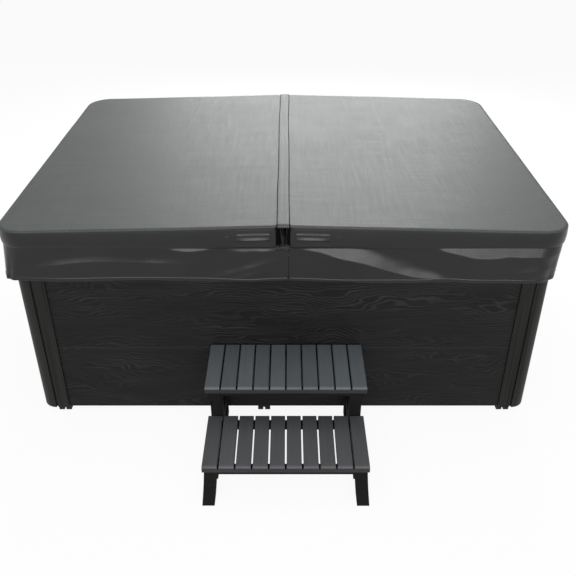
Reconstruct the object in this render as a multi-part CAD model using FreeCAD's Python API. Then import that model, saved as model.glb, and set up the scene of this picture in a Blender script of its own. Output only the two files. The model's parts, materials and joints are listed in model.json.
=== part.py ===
import FreeCAD, Part
import math
import os

V = FreeCAD.Vector
UP = V(0, 0, 1)

# A rectangular hot tub with a folding insulated cover and a two-tread step set at its front.
# Millimetres. The origin is the middle of the tub's footprint on the floor.
# +Z is up, -Y is the front where the step set stands, and X runs along the long side.

# Cabinet
CABINET_WIDTH = 2064.0
CABINET_DEPTH = 1550.0
GROUND_GAP = 28.0
CORNER_RADIUS = 60.0
POST_STRIP = 48.0
NOSE_WALL = 10.0
GROOVE_WIDTH = 8.0
GROOVE_DEPTH = 7.0
PANEL_THICKNESS = 16.0
PANEL_RECESS = 6.0
PANEL_SIDE_GAP = 1.0
BOARD_HEIGHT = 316.0
BOARD_CHAMFER = 3.5
TONGUE_WIDTH = 5.0
TONGUE_HEIGHT = 6.0
TONGUE_PLAY = 0.4
SCREW_HEAD_RADIUS = 5.0
SCREW_HEAD_HEIGHT = 2.5
SCREW_SHANK_RADIUS = 2.0
SCREW_SHANK_LENGTH = 34.0
SCREW_EDGE_INSET = 40.0
SCREWS_ON_LONG_WALL = 4
SCREWS_ON_END_WALL = 3
SCREW_HOLE_PLAY = 0.2

# Base and frame
BASE_SETBACK = 42.0
BASE_HEIGHT = 40.0
BASE_WALL = 6.0
BASE_CORNER_RADIUS = 40.0
FOOT_REACH = 24.0
FOOT_WIDTH = 52.0
FOOT_NOTCH = 8.0
FOOT_NOTCH_HEIGHT = 14.0
FOOT_OUTER_INSET = 89.0
FOOT_MIDDLE_X = -85.0
FRAME_SIZE = 40.0
RAIL_CORNER_GAP = 1.0
INSULATION_THICKNESS = 20.0
INSULATION_PLAY = 2.0

# Shell
SHELL_WALL = 8.0
RIM_TOP = 815.0
LIP_OVERHANG = 8.0
LIP_DROP = 45.0
LIP_CABINET_GAP = 2.0
LIP_ROUNDING = 7.0
RIM_WIDTH = 60.0
SHELF_DROP = 40.0
SHELF_WIDTH = 70.0
SHELF_CORNER_RADIUS = 120.0
BOWL_CORNER_RADIUS = 190.0
BOWL_DRAFT = 90.0
BOWL_DRAFT_RADIUS = 40.0
SEAT_HEIGHT = 430.0
WELL_LENGTH = 800.0
WELL_BREADTH = 420.0
WELL_CORNER_RADIUS = 150.0
WELL_DRAFT = 38.0
WELL_FLOOR = 150.0
SEAT_DISH_DEPTH = 38.0
SEAT_DISH_MARGIN = 26.0
EDGE_ROUNDING = 12.0
COVE_ROUNDING = 34.0

# Filter tower at the front of the bowl
TOWER_WIDTH = 320.0
TOWER_REACH = 190.0
TOWER_TOP = 690.0
TOWER_ROUNDING = 36.0
FILTER_BORE_RADIUS = 80.0
FILTER_BORE_BOTTOM = 300.0
FILTER_RADIUS = 70.0
FILTER_HEIGHT = 235.0
FILTER_PLEATS = 24
FILTER_PLEAT_DEPTH = 9.0
FILTER_CORE_RADIUS = 25.0
FILTER_CAP_HEIGHT = 12.0
WEIR_WIDTH = 140.0
WEIR_BOTTOM = 570.0
WEIR_HEIGHT = 80.0
WEIR_THICKNESS = 6.0
WEIR_PLAY = 2.0
WEIR_PIN_RADIUS = 1.8
WEIR_PIN_LENGTH = 6.0
LID_RADIUS = 86.0
LID_THICKNESS = 9.0
LID_PLUG_DEPTH = 14.0
LID_BEVEL = 3.5
LID_GRIP_LENGTH = 96.0
LID_GRIP_WIDTH = 14.0
LID_GRIP_HEIGHT = 16.0

# Jets and other fittings
ROTARY_HEADREST_GAP = 20.0
LOW_JET_RISE = 75.0
LONG_WALL_LOW_RISE = 95.0
LONG_WALL_HIGH_RISE = 235.0
JET_PAIR_SPACING = 90.0
MIDDLE_JET_SPACING = 120.0
END_WALL_JET_MARGIN = 5.0
JET_FACE_GAP = 6.0
LONG_WALL_JET_MARGIN = 110.0
JET_FACE_RADIUS = 32.0
JET_BARREL_RADIUS = 22.0
ROTARY_FACE_RADIUS = 48.0
ROTARY_BARREL_RADIUS = 34.0
JET_FACE_HEIGHT = 6.0
JET_BARREL_LENGTH = 42.0
JET_NUT_HEIGHT = 9.0
JET_NUT_MARGIN = 9.0
JET_TUBE_WALL = 3.0
JET_SLEEVE = 12.0
FIT_PLAY = 0.4
RUNNING_PLAY = 0.05
SUCTION_RISE = 92.0
SUCTION_RADIUS = 52.0
SUCTION_HEIGHT = 14.0
SUCTION_SLOTS = 5
SUCTION_SLOT_WIDTH = 5.0
LIGHT_RADIUS = 45.0
LIGHT_HEIGHT = 12.0
LIGHT_RISE = 110.0
DRAIN_RADIUS = 38.0
DRAIN_HEIGHT = 5.0
DRAIN_HOLES = 8
DRAIN_X = -120.0
HEADREST_LENGTH = 230.0
HEADREST_HEIGHT = 95.0
HEADREST_THICKNESS = 42.0
TOPSIDE_LENGTH = 190.0
TOPSIDE_BREADTH = 50.0
TOPSIDE_HEIGHT = 12.0
SCREEN_LENGTH = 60.0
SCREEN_BREADTH = 30.0
SCREEN_DEPTH = 1.0
BUTTON_LENGTH = 22.0
BUTTON_BREADTH = 18.0
BUTTON_GAP = 6.0
BUTTON_HEIGHT = 8.0
BUTTON_PROUD = 2.5
BUTTON_ROUNDING = 1.5
KNOB_RADIUS = 26.0
KNOB_HEIGHT = 22.0
AIR_KNOB_RADIUS = 20.0
AIR_KNOB_HEIGHT = 15.0
AIR_KNOB_Y = 260.0
KNOB_LOBES = 8
VALVE_STEM_RADIUS = 8.0
VALVE_STEM_LENGTH = 26.0
VALVE_COLLAR_HEIGHT = 4.0
VALVE_BODY_LENGTH = 70.0
VALVE_NECK = 5.0
VALVE_BODY_RADIUS = 16.0

# Pump, heater, control box and pipes, in the bay under the right-hand seats
PIPE_STUB = 12.0
WET_END_RADIUS = 92.0
WET_END_LENGTH = 96.0
WET_END_WALL = 8.0
MOTOR_RADIUS = 80.0
MOTOR_LENGTH = 250.0
MOTOR_FINS = 20
MOTOR_FIN_HEIGHT = 8.0
MOTOR_FIN_WIDTH = 4.0
MOTOR_BELL_LENGTH = 34.0
SHAFT_RADIUS = 8.0
IMPELLER_RADIUS = 62.0
IMPELLER_DISC = 6.0
IMPELLER_PLAY = 5.0
IMPELLER_VANE_WIDTH = 5.0
IMPELLER_VANES = 6
IMPELLER_VANE_HEIGHT = 22.0
PUMP_FOOT_WIDTH = 130.0
PIPE_RADIUS = 25.0
PIPE_BORE = 21.0
PIPE_BEND = 55.0
HEATER_RADIUS = 36.0
HEATER_LENGTH = 330.0
HEATER_UNION_RADIUS = 44.0
HEATER_UNION_LENGTH = 26.0
HEATER_SHELL_GAP = 10.0
MANIFOLD_LENGTH = 640.0
MANIFOLD_RADIUS = 30.0
MANIFOLD_GAP = 120.0
MANIFOLD_BARBS = 10
BARB_RADIUS = 9.0
BARB_LENGTH = 28.0
CONTROL_DEPTH = 78.0
CONTROL_WIDTH = 330.0
CONTROL_HEIGHT = 250.0
CONTROL_WALL = 3.0
CONTROL_LID = 14.0
CONTROL_LID_RIM = 25.0
CONTROL_FROM_MOTOR = 40.0
CONTROL_FRAME_GAP = 85.0

# Cover
COVER_OVERHANG = 32.0
COVER_RADIUS = 105.0
COVER_EDGE_THICKNESS = 66.0
COVER_HINGE_THICKNESS = 92.0
COVER_SEAT_GAP = 0.5
COVER_ROUNDING = 13.0
COVER_UNDER_ROUNDING = 6.0
VINYL = 2.0
CORE_PLAY = 0.5
HINGE_GAP = 9.0
CHANNEL_STEEL = 1.5
CHANNEL_FLANGE = 60.0
CHANNEL_END_INSET = 70.0
SEAL_SQUEEZE = 0.6
SEAL_DROP = 14.0
STRIP_WIDTH = 42.0
STRIP_THICKNESS = 2.6
STRIP_CROWN = 1.6
STRIP_PLAY = 0.4
SKIRT_LENGTH = 140.0
SKIRT_THICKNESS = 2.6
SKIRT_INSET = 3.0
SKIRT_SEAM_X = 20.0
SKIRT_SEAM_GAP = 1.0
SKIRT_LEFT_FLARE = 4.0
SKIRT_LEFT_TUCK = 7.0
SKIRT_RIGHT_FLARE = -10.0
SKIRT_RIGHT_TUCK = -7.0
SKIRT_SEAM_FOLD = 0.6
SKIRT_MID_FOLD = 4.5
SKIRT_HEM_FOLD = 8.0
SKIRT_FRONT_FOLDS = 3
SKIRT_SIDE_FOLDS = 4
HANDLE_START = 46.0
HANDLE_LENGTH = 131.0
HANDLE_BREADTH = 36.0
HANDLE_THICKNESS = 3.0
HANDLE_BOW = 4.0
HANDLE_TAB = 17.0
HANDLE_TAB_GAP = 18.0

# Step set
STEP_WIDTH = 604.0
STEP_OFFSET_X = 10.0
STEP_TUB_GAP = 3.0
TREAD_DEPTH = 276.0
TREAD_OVERLAP = 54.0
LOWER_TREAD_HEIGHT = 185.0
UPPER_TREAD_HEIGHT = 365.0
SLAT_COUNT = 10
SLAT_GAP = 6.5
SLAT_THICKNESS = 25.0
SLAT_NOSE_RADIUS = 9.0
LEG_THICKNESS = 46.0
LEG_INSET = 6.0
LEG_DEPTH = 60.0
LEG_SPLAY = 12.0
FOOT_KICK = 17.0
LEG_SWEEP = 10.0
POST_INSET = 11.0
MID_POST_DEPTH = 44.0
BEARER_HEIGHT = 44.0
CROSS_RAIL_DEPTH = 34.0
CROSS_RAIL_HEIGHT = 22.0
PAD_THICKNESS = 4.0
PAD_INSET = 4.0

# Places that several pieces share
HALF_W = CABINET_WIDTH / 2
HALF_D = CABINET_DEPTH / 2
POST_FACE = CORNER_RADIUS + GROOVE_WIDTH + POST_STRIP
POST_WING = PANEL_RECESS + PANEL_THICKNESS
CABINET_TOP = RIM_TOP - LIP_DROP - LIP_CABINET_GAP
LIP_X = HALF_W + LIP_OVERHANG
LIP_Y = HALF_D + LIP_OVERHANG
SHELF_X = LIP_X - RIM_WIDTH
SHELF_Y = LIP_Y - RIM_WIDTH
SHELF_Z = RIM_TOP - SHELF_DROP
BOWL_X = SHELF_X - SHELF_WIDTH
BOWL_Y = SHELF_Y - SHELF_WIDTH
SEAT_X = BOWL_X - BOWL_DRAFT
SEAT_Y = BOWL_Y - BOWL_DRAFT
SEAT_RADIUS = BOWL_CORNER_RADIUS + BOWL_DRAFT_RADIUS
WELL_X = WELL_LENGTH / 2
WELL_Y = WELL_BREADTH / 2
TOWER_FACE_Y = -SEAT_Y + TOWER_REACH
FILTER_Y = TOWER_FACE_Y - FILTER_BORE_RADIUS - SHELL_WALL
FRAME_X = HALF_W - POST_WING
FRAME_Y = HALF_D - POST_WING
SILL_TOP = BASE_HEIGHT + FRAME_SIZE
RAIL_TOP = SHELF_Z - SHELL_WALL
COVER_X = HALF_W + COVER_OVERHANG
COVER_Y = HALF_D + COVER_OVERHANG
COVER_BASE = RIM_TOP + COVER_SEAT_GAP
STEP_BACK_Y = -HALF_D - STEP_TUB_GAP
UPPER_FRONT_Y = STEP_BACK_Y - TREAD_DEPTH
LOWER_BACK_Y = UPPER_FRONT_Y + TREAD_OVERLAP
LOWER_FRONT_Y = LOWER_BACK_Y - TREAD_DEPTH


def block(x0, x1, y0, y1, z0, z1):
    return Part.makeBox(x1 - x0, y1 - y0, z1 - z0, V(x0, y0, z0))


def rounded_wire(half_x, half_y, radius, z):
    """A level rounded rectangle about the Z axis."""
    edges = []
    diagonal = radius * math.sqrt(0.5)
    for turn in range(4):
        a, b = (half_x, half_y) if turn % 2 == 0 else (half_y, half_x)
        spin = FreeCAD.Rotation(UP, 90.0 * turn)
        start = V(a, radius - b, z)
        side_end = V(a, b - radius, z)
        middle = V(a - radius + diagonal, b - radius + diagonal, z)
        end = V(a - radius, b, z)
        points = [spin.multVec(p) for p in (start, side_end, middle, end)]
        edges.append(Part.LineSegment(points[0], points[1]).toShape())
        edges.append(Part.Arc(points[1], points[2], points[3]).toShape())
    return Part.Wire(edges)


def rounded_prism(half_x, half_y, radius, z0, z1):
    return Part.Face(rounded_wire(half_x, half_y, radius, z0)).extrude(V(0, 0, z1 - z0))


def drafted(top, bottom):
    """A tapering rounded block between two sections of (half_x, half_y, radius, z)."""
    return Part.makeLoft([rounded_wire(*top), rounded_wire(*bottom)], True, True)


def flat_prism(points, along):
    """A closed polygon pushed along a vector."""
    return Part.Face(Part.makePolygon(points + [points[0]])).extrude(along)


def turned(profile):
    """A closed profile of (radius, height) points turned about the local Z axis."""
    points = [V(r, 0, z) for r, z in profile]
    return Part.Face(Part.makePolygon(points + [points[0]])).revolve(V(0, 0, 0), UP, 360)


def tube(radius, bore, z0, z1):
    return turned([(bore, z0), (radius, z0), (radius, z1), (bore, z1)])


def placed(shape, placement):
    copy = shape.copy()
    copy.Placement = placement.multiply(copy.Placement)
    return copy


def spun(shape, degrees):
    copy = shape.copy()
    copy.rotate(V(0, 0, 0), UP, degrees)
    return copy


def mirrored_x(shape):
    return shape.mirror(V(0, 0, 0), V(1, 0, 0))


def mirrored_y(shape):
    return shape.mirror(V(0, 0, 0), V(0, 1, 0))


def four_corners(shape):
    pair = [shape, mirrored_x(shape)]
    return pair + [mirrored_y(s) for s in pair]


def joined(shapes):
    return shapes[0].multiFuse(shapes[1:]).removeSplitter() if len(shapes) > 1 else shapes[0]


# Cabinet boards: tongued and grooved, with a V between boards on the face.

def board_levels():
    levels = [GROUND_GAP]
    while levels[-1] + BOARD_HEIGHT < CABINET_TOP - BOARD_HEIGHT / 4:
        levels.append(levels[-1] + BOARD_HEIGHT)
    return levels + [CABINET_TOP]


def board(half_span, face, z0, z1, has_groove, has_tongue):
    """One board of a wall that faces -Y, its face at y = -face."""
    middle = PANEL_THICKNESS / 2
    tongue, groove = TONGUE_WIDTH / 2, TONGUE_WIDTH / 2 + TONGUE_PLAY
    outline = [(0, z0 + BOARD_CHAMFER), (0, z1 - BOARD_CHAMFER), (BOARD_CHAMFER, z1)]
    if has_tongue:
        outline += [(middle - tongue, z1), (middle - tongue, z1 + TONGUE_HEIGHT)]
        outline += [(middle + tongue, z1 + TONGUE_HEIGHT), (middle + tongue, z1)]
    outline += [(PANEL_THICKNESS, z1), (PANEL_THICKNESS, z0)]
    if has_groove:
        roof = z0 + TONGUE_HEIGHT + TONGUE_PLAY
        outline += [(middle + groove, z0), (middle + groove, roof)]
        outline += [(middle - groove, roof), (middle - groove, z0)]
    outline += [(BOARD_CHAMFER, z0)]
    points = [V(-half_span, depth - face, z) for depth, z in outline]
    return flat_prism(points, V(2 * half_span, 0, 0))


def wall_boards(half_span, face, degrees):
    levels = board_levels()
    last = len(levels) - 2
    boards = []
    for i in range(last + 1):
        made = board(half_span, face, levels[i], levels[i + 1], i > 0, i < last)
        boards.append(spun(made, degrees))
    return boards


FRONT_SPAN = HALF_W - POST_FACE - PANEL_SIDE_GAP
SIDE_SPAN = HALF_D - POST_FACE - PANEL_SIDE_GAP
FRONT_FACE = HALF_D - PANEL_RECESS
SIDE_FACE = HALF_W - PANEL_RECESS


def corner_post():
    """Extruded corner at +X +Y: a round nose, then a groove and a flat strip on each face."""
    nose, inner = CORNER_RADIUS, CORNER_RADIUS - NOSE_WALL
    cx, cy = HALF_W - nose, HALF_D - nose
    slant = math.sqrt(0.5)
    z = GROUND_GAP
    across = [V(HALF_W - POST_FACE, HALF_D, z), V(cx - GROOVE_WIDTH, HALF_D, z)]
    across += [V(cx - GROOVE_WIDTH, HALF_D - GROOVE_DEPTH, z), V(cx, HALF_D - GROOVE_DEPTH, z)]
    across += [V(cx, HALF_D, z)]
    down = [V(HALF_W, cy, z), V(HALF_W - GROOVE_DEPTH, cy, z)]
    down += [V(HALF_W - GROOVE_DEPTH, cy - GROOVE_WIDTH, z), V(HALF_W, cy - GROOVE_WIDTH, z)]
    down += [V(HALF_W, HALF_D - POST_FACE, z), V(HALF_W - POST_WING, HALF_D - POST_FACE, z)]
    down += [V(HALF_W - POST_WING, cy, z), V(HALF_W - NOSE_WALL, cy, z)]
    back = [V(cx, HALF_D - NOSE_WALL, z), V(cx, HALF_D - POST_WING, z)]
    back += [V(HALF_W - POST_FACE, HALF_D - POST_WING, z)]
    outer_mid = V(cx + nose * slant, cy + nose * slant, z)
    inner_mid = V(cx + inner * slant, cy + inner * slant, z)
    edges = Part.makePolygon(across).Edges
    edges.append(Part.Arc(across[-1], outer_mid, down[0]).toShape())
    edges += Part.makePolygon(down).Edges
    edges.append(Part.Arc(down[-1], inner_mid, back[0]).toShape())
    edges += Part.makePolygon(back + [across[0]]).Edges
    return Part.Face(Part.Wire(edges)).extrude(V(0, 0, CABINET_TOP - GROUND_GAP))


def screw():
    """A pan-head screw along local Z, its head seat at z = 0."""
    head = SCREW_HEAD_RADIUS
    profile = [(0, -SCREW_SHANK_LENGTH), (SCREW_SHANK_RADIUS, -SCREW_SHANK_LENGTH + SCREW_SHANK_RADIUS)]
    profile += [(SCREW_SHANK_RADIUS, 0), (head, 0), (head * 0.8, SCREW_HEAD_HEIGHT), (0, SCREW_HEAD_HEIGHT)]
    return turned(profile)


def screw_poses():
    """A row along the top board of each wall, driven into the top rail, with local Z facing out."""
    z = RAIL_TOP - FRAME_SIZE / 2
    walls = [(turn, FRONT_SPAN, FRONT_FACE, SCREWS_ON_LONG_WALL) for turn in (0, 180)]
    walls += [(turn, SIDE_SPAN, SIDE_FACE, SCREWS_ON_END_WALL) for turn in (90, 270)]
    poses = []
    for degrees, span, face, count in walls:
        turn = FreeCAD.Rotation(UP, degrees)
        outward = turn.multiply(FreeCAD.Rotation(V(1, 0, 0), 90))
        first = SCREW_EDGE_INSET - span
        for i in range(count):
            x = first - 2 * first * i / (count - 1)
            poses.append(FreeCAD.Placement(turn.multVec(V(x, -face, z)), outward))
    return poses


def panel_screws():
    return [placed(screw(), pose) for pose in screw_poses()]


def drilled(pieces):
    """The same pieces with a clearance hole for each screw that passes through them."""
    deep = SCREW_SHANK_LENGTH + SCREW_SHANK_RADIUS
    drill = Part.makeCylinder(SCREW_SHANK_RADIUS + SCREW_HOLE_PLAY, deep, V(0, 0, -deep))
    drills = [placed(drill, pose) for pose in screw_poses()]
    return [piece.cut(drills) for piece in pieces]


# Base, feet and frame

def base_pan():
    half_x, half_y = HALF_W - BASE_SETBACK, HALF_D - BASE_SETBACK
    outer = rounded_prism(half_x, half_y, BASE_CORNER_RADIUS, 0, BASE_HEIGHT)
    inside = rounded_prism(half_x - BASE_WALL, half_y - BASE_WALL, BASE_CORNER_RADIUS - BASE_WALL,
                           BASE_WALL, BASE_HEIGHT)
    return outer.cut(inside)


def base_feet():
    """Two-toed plastic feet that stand out of the base under the boards, front and back."""
    y = -(HALF_D - BASE_SETBACK)
    outer_x = HALF_W - FOOT_OUTER_INSET
    feet = []
    for x in (-outer_x, FOOT_MIDDLE_X, outer_x):
        body = block(x - FOOT_WIDTH / 2, x + FOOT_WIDTH / 2, y - FOOT_REACH, y, 0, GROUND_GAP)
        notch = block(x - FOOT_NOTCH / 2, x + FOOT_NOTCH / 2, y - FOOT_REACH, y, 0, FOOT_NOTCH_HEIGHT)
        foot = body.cut(notch)
        feet += [foot, mirrored_y(foot)]
    return feet


def rail_end():
    """How far a rail along X may run before it meets the round inside of a corner post."""
    inner = CORNER_RADIUS - NOSE_WALL
    rise = FRAME_Y - (HALF_D - CORNER_RADIUS)
    return HALF_W - CORNER_RADIUS + math.sqrt(max(inner ** 2 - rise ** 2, 0)) - RAIL_CORNER_GAP


def frame_ring(z0, z1):
    long_rail = block(-rail_end(), rail_end(), FRAME_Y - FRAME_SIZE, FRAME_Y, z0, z1)
    end = FRAME_Y - FRAME_SIZE
    short_rail = block(FRAME_X - FRAME_SIZE, FRAME_X, -end, end, z0, z1)
    return [long_rail, mirrored_y(long_rail), short_rail, mirrored_x(short_rail)]


def frame_rails():
    return frame_ring(BASE_HEIGHT, SILL_TOP) + drilled(frame_ring(RAIL_TOP - FRAME_SIZE, RAIL_TOP))


def frame_studs():
    """Uprights behind each joint of post and boards, and two more on each long wall."""
    z0, z1 = SILL_TOP, RAIL_TOP - FRAME_SIZE
    half = FRAME_SIZE / 2
    studs = []
    for x in (HALF_W - POST_FACE, (HALF_W - POST_FACE) / 3):
        stud = block(x - half, x + half, FRAME_Y - FRAME_SIZE, FRAME_Y, z0, z1)
        studs += four_corners(stud)
    y = HALF_D - POST_FACE
    studs += four_corners(block(FRAME_X - FRAME_SIZE, FRAME_X, y - half, y + half, z0, z1))
    return studs


def insulation_boards():
    """Foam boards inside the frame on the two long walls and the left end, away from the pump bay."""
    inner_x = FRAME_X - FRAME_SIZE
    inner_y = FRAME_Y - FRAME_SIZE
    z0, z1 = SILL_TOP, SHELF_Z - VALVE_BODY_LENGTH - INSULATION_PLAY
    half = inner_x - INSULATION_THICKNESS - INSULATION_PLAY
    long_board = block(-half, half, inner_y - INSULATION_THICKNESS, inner_y, z0, z1)
    end_board = block(-inner_x, INSULATION_THICKNESS - inner_x, -inner_y, inner_y, z0, z1)
    return [long_board, mirrored_y(long_board), end_board]


def well_support():
    """Foam block that carries the foot well on the base."""
    half_x, half_y = WELL_X - 2 * WELL_DRAFT, WELL_Y - 2 * WELL_DRAFT
    return rounded_prism(half_x, half_y, WELL_CORNER_RADIUS / 2, BASE_WALL, WELL_FLOOR - SHELL_WALL)


# Shell: a formed acrylic sheet with a rolled lip, a shelf, seats and a foot well.

BOWL_SLOPE = BOWL_DRAFT / (SHELF_Z - SEAT_HEIGHT)
WELL_SLOPE = WELL_DRAFT / (SEAT_HEIGHT - WELL_FLOOR)


def seat_dishes(grow):
    """Shallow seat pans: spherical dips, grown by the wall for the outside of the shell."""
    bench = SEAT_Y - WELL_Y
    dish = bench / 2 - SEAT_DISH_MARGIN
    radius = (dish ** 2 + SEAT_DISH_DEPTH ** 2) / (2 * SEAT_DISH_DEPTH)
    x, y = SEAT_X - bench / 2, SEAT_Y - bench / 2
    top = SEAT_HEIGHT + 1
    centre_z = SEAT_HEIGHT - SEAT_DISH_DEPTH + radius
    reach = bench / 2
    dishes = []
    for cx, cy in ((x, y), (-x, y), (-x, -y), (x, -y), (0, y)):
        ball = Part.makeSphere(radius + grow, V(cx, cy, centre_z))
        slab = block(cx - reach, cx + reach, cy - reach, cy + reach, centre_z - radius - 2 * grow - 1, top)
        dishes.append(ball.common(slab))
    return dishes


def bowl_and_well(grow):
    """The bowl and the foot well as solids, grown by the wall for the outside, with parallel slopes."""
    seat_grow, floor_grow = grow * (1 - BOWL_SLOPE), grow * (1 - WELL_SLOPE)
    bowl = drafted((BOWL_X + grow, BOWL_Y + grow, BOWL_CORNER_RADIUS + grow, SHELF_Z),
                   (SEAT_X + seat_grow, SEAT_Y + seat_grow, SEAT_RADIUS + grow, SEAT_HEIGHT - grow))
    floor_x, floor_y = WELL_X - WELL_DRAFT + floor_grow, WELL_Y - WELL_DRAFT + floor_grow
    floor_radius = WELL_CORNER_RADIUS - WELL_DRAFT / 2
    well = drafted((WELL_X + grow, WELL_Y + grow, WELL_CORNER_RADIUS + grow, SEAT_HEIGHT),
                   (floor_x, floor_y, floor_radius + grow, WELL_FLOOR - grow))
    return bowl, well


def filter_tower(bowl_outside):
    """The block that holds the filter, between the two front seats and against the front wall."""
    face = TOWER_FACE_Y
    half = TOWER_WIDTH / 2
    raw = block(-half, half, -BOWL_Y - SHELL_WALL, face, SEAT_HEIGHT - SHELL_WALL, TOWER_TOP)
    upright = [e for e in raw.Edges if is_upright(e) and abs(e.Vertexes[0].Y - face) < 0.01]
    return raw.makeFillet(TOWER_ROUNDING, upright).common(bowl_outside)


def is_upright(edge):
    a, b = edge.Vertexes[0], edge.Vertexes[-1]
    return abs(a.X - b.X) < 0.01 and abs(a.Y - b.Y) < 0.01 and abs(a.Z - b.Z) > 0.01


def edges_at_height(shape, z, within_x, within_y):
    """The level edges at a height whose ends lie inside a plan rectangle."""
    found = []
    for e in shape.Edges:
        level = all(abs(v.Z - z) < 0.01 for v in e.Vertexes)
        inside = all(abs(v.X) < within_x and abs(v.Y) < within_y for v in e.Vertexes)
        if level and inside and abs(e.CenterOfMass.z - z) < 0.01:
            found.append(e)
    return found


def shell():
    lip = rounded_prism(LIP_X, LIP_Y, CORNER_RADIUS + LIP_OVERHANG, RIM_TOP - LIP_DROP, RIM_TOP)
    lip = lip.makeFillet(LIP_ROUNDING, edges_at_height(lip, RIM_TOP, LIP_X + 1, LIP_Y + 1))
    under_lip = rounded_prism(LIP_X - SHELL_WALL, LIP_Y - SHELL_WALL,
                              CORNER_RADIUS + LIP_OVERHANG - SHELL_WALL,
                              RIM_TOP - LIP_DROP, RIM_TOP - SHELL_WALL)
    wall = SHELL_WALL
    shelf_outside = rounded_prism(SHELF_X + wall, SHELF_Y + wall, SHELF_CORNER_RADIUS + wall,
                                  SHELF_Z - wall, RIM_TOP - wall)
    shelf_space = rounded_prism(SHELF_X, SHELF_Y, SHELF_CORNER_RADIUS, SHELF_Z, RIM_TOP)
    bowl_out, well_out = bowl_and_well(SHELL_WALL)
    bowl, well = bowl_and_well(0)
    canister = Part.makeCylinder(FILTER_BORE_RADIUS + SHELL_WALL, TOWER_TOP - FILTER_BORE_BOTTOM,
                                 V(0, FILTER_Y, FILTER_BORE_BOTTOM - SHELL_WALL))
    outside = joined([lip.cut(under_lip), shelf_outside, bowl_out, well_out, canister] + seat_dishes(wall))
    tower = filter_tower(bowl_out)
    inside = joined([shelf_space, bowl, well] + seat_dishes(0)).cut(tower.fuse(canister))
    made = outside.cut(inside)
    made = rounded_inside(made)
    bore = Part.makeCylinder(FILTER_BORE_RADIUS, TOWER_TOP, V(0, FILTER_Y, FILTER_BORE_BOTTOM))
    slot_half = WEIR_WIDTH / 2
    slot = block(-slot_half, slot_half, FILTER_Y, TOWER_FACE_Y + 1, WEIR_BOTTOM, WEIR_BOTTOM + WEIR_HEIGHT)
    socket_half = slot_half + WEIR_PIN_LENGTH
    sockets = Part.makeCylinder(WEIR_PIN_RADIUS + RUNNING_PLAY, 2 * socket_half,
                                V(-socket_half, WEIR_AXIS_Y, WEIR_AXIS_Z), V(1, 0, 0))
    return made.cut([bore, slot, sockets] + fitting_holes())


def rounded_inside(made):
    """Rolls the sheet over its edges and coves the corners where the wall meets the seats and floor."""
    well_top = edges_at_height(made, SEAT_HEIGHT, WELL_X + 1, WELL_Y + 1)
    made = made.makeFillet(EDGE_ROUNDING, well_top)
    bowl_top = edges_at_height(made, SHELF_Z, BOWL_X + 1, BOWL_Y + 1)
    made = made.makeFillet(EDGE_ROUNDING, bowl_top)
    floor = edges_at_height(made, WELL_FLOOR, WELL_X, WELL_Y)
    return made.makeFillet(COVE_ROUNDING, floor)


# Fittings on the sloping walls of the bowl and the well

def wall_placement(side, along, z, half_x, half_y, base_z, slope):
    """Local +Z points off a drafted wall into the water, and local +Y points up the wall."""
    tilt = math.atan(slope)
    turn = {"right": 90.0, "back": 180.0, "left": 270.0, "front": 0.0}[side]
    away = (half_x if side in ("left", "right") else half_y) + (z - base_z) * slope
    spin = FreeCAD.Rotation(UP, turn)
    normal = spin.multVec(V(0, math.cos(tilt), math.sin(tilt)))
    across = spin.multVec(V(-1, 0, 0))
    upward = normal.cross(across)
    lateral = V(0, along, 0) if side in ("left", "right") else V(along, 0, 0)
    point = spin.multVec(V(0, -away, 0)) + lateral + V(0, 0, z)
    return FreeCAD.Placement(point, FreeCAD.Rotation(across, upward, normal, "ZXY"))


def bowl_wall(side, along, z):
    return wall_placement(side, along, z, SEAT_X, SEAT_Y, SEAT_HEIGHT, BOWL_SLOPE)


def well_wall(side, along, z):
    return wall_placement(side, along, z, WELL_X - WELL_DRAFT, WELL_Y - WELL_DRAFT, WELL_FLOOR, WELL_SLOPE)


HEADREST_Z = SHELF_Z - EDGE_ROUNDING - HEADREST_HEIGHT / 2
ROTARY_JET_Z = HEADREST_Z - HEADREST_HEIGHT / 2 - ROTARY_HEADREST_GAP - ROTARY_FACE_RADIUS
LOW_PAIR_HALF = ROTARY_FACE_RADIUS + JET_FACE_RADIUS + JET_FACE_GAP
END_JET_Y = SEAT_Y - SEAT_RADIUS - LOW_PAIR_HALF - JET_FACE_RADIUS - END_WALL_JET_MARGIN
LONG_JET_X = SEAT_X - SEAT_RADIUS - LONG_WALL_JET_MARGIN


def end_wall_seats():
    return [(side, y) for side in ("right", "left") for y in (-END_JET_Y, END_JET_Y)]


def rotary_jets():
    return [bowl_wall(side, y, ROTARY_JET_Z) for side, y in end_wall_seats()]


def small_jets():
    """A pair low on each end seat, clear of its rotary jet, and two pairs on every other seat."""
    low, high = SEAT_HEIGHT + LONG_WALL_LOW_RISE, SEAT_HEIGHT + LONG_WALL_HIGH_RISE
    half = JET_PAIR_SPACING / 2
    places = []
    for side, y in end_wall_seats():
        pair = (y - LOW_PAIR_HALF, y + LOW_PAIR_HALF)
        places += [bowl_wall(side, along, SEAT_HEIGHT + LOW_JET_RISE) for along in pair]
    for side in ("front", "back"):
        for x in (-LONG_JET_X, LONG_JET_X):
            places += [bowl_wall(side, x + d, z) for d in (-half, half) for z in (low, high)]
    middle = MIDDLE_JET_SPACING / 2
    places += [bowl_wall("back", x, z) for x in (-middle, middle) for z in (low, high)]
    return places


WALL_ALONG_NORMAL = SHELL_WALL * math.cos(math.atan(BOWL_SLOPE))


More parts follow.
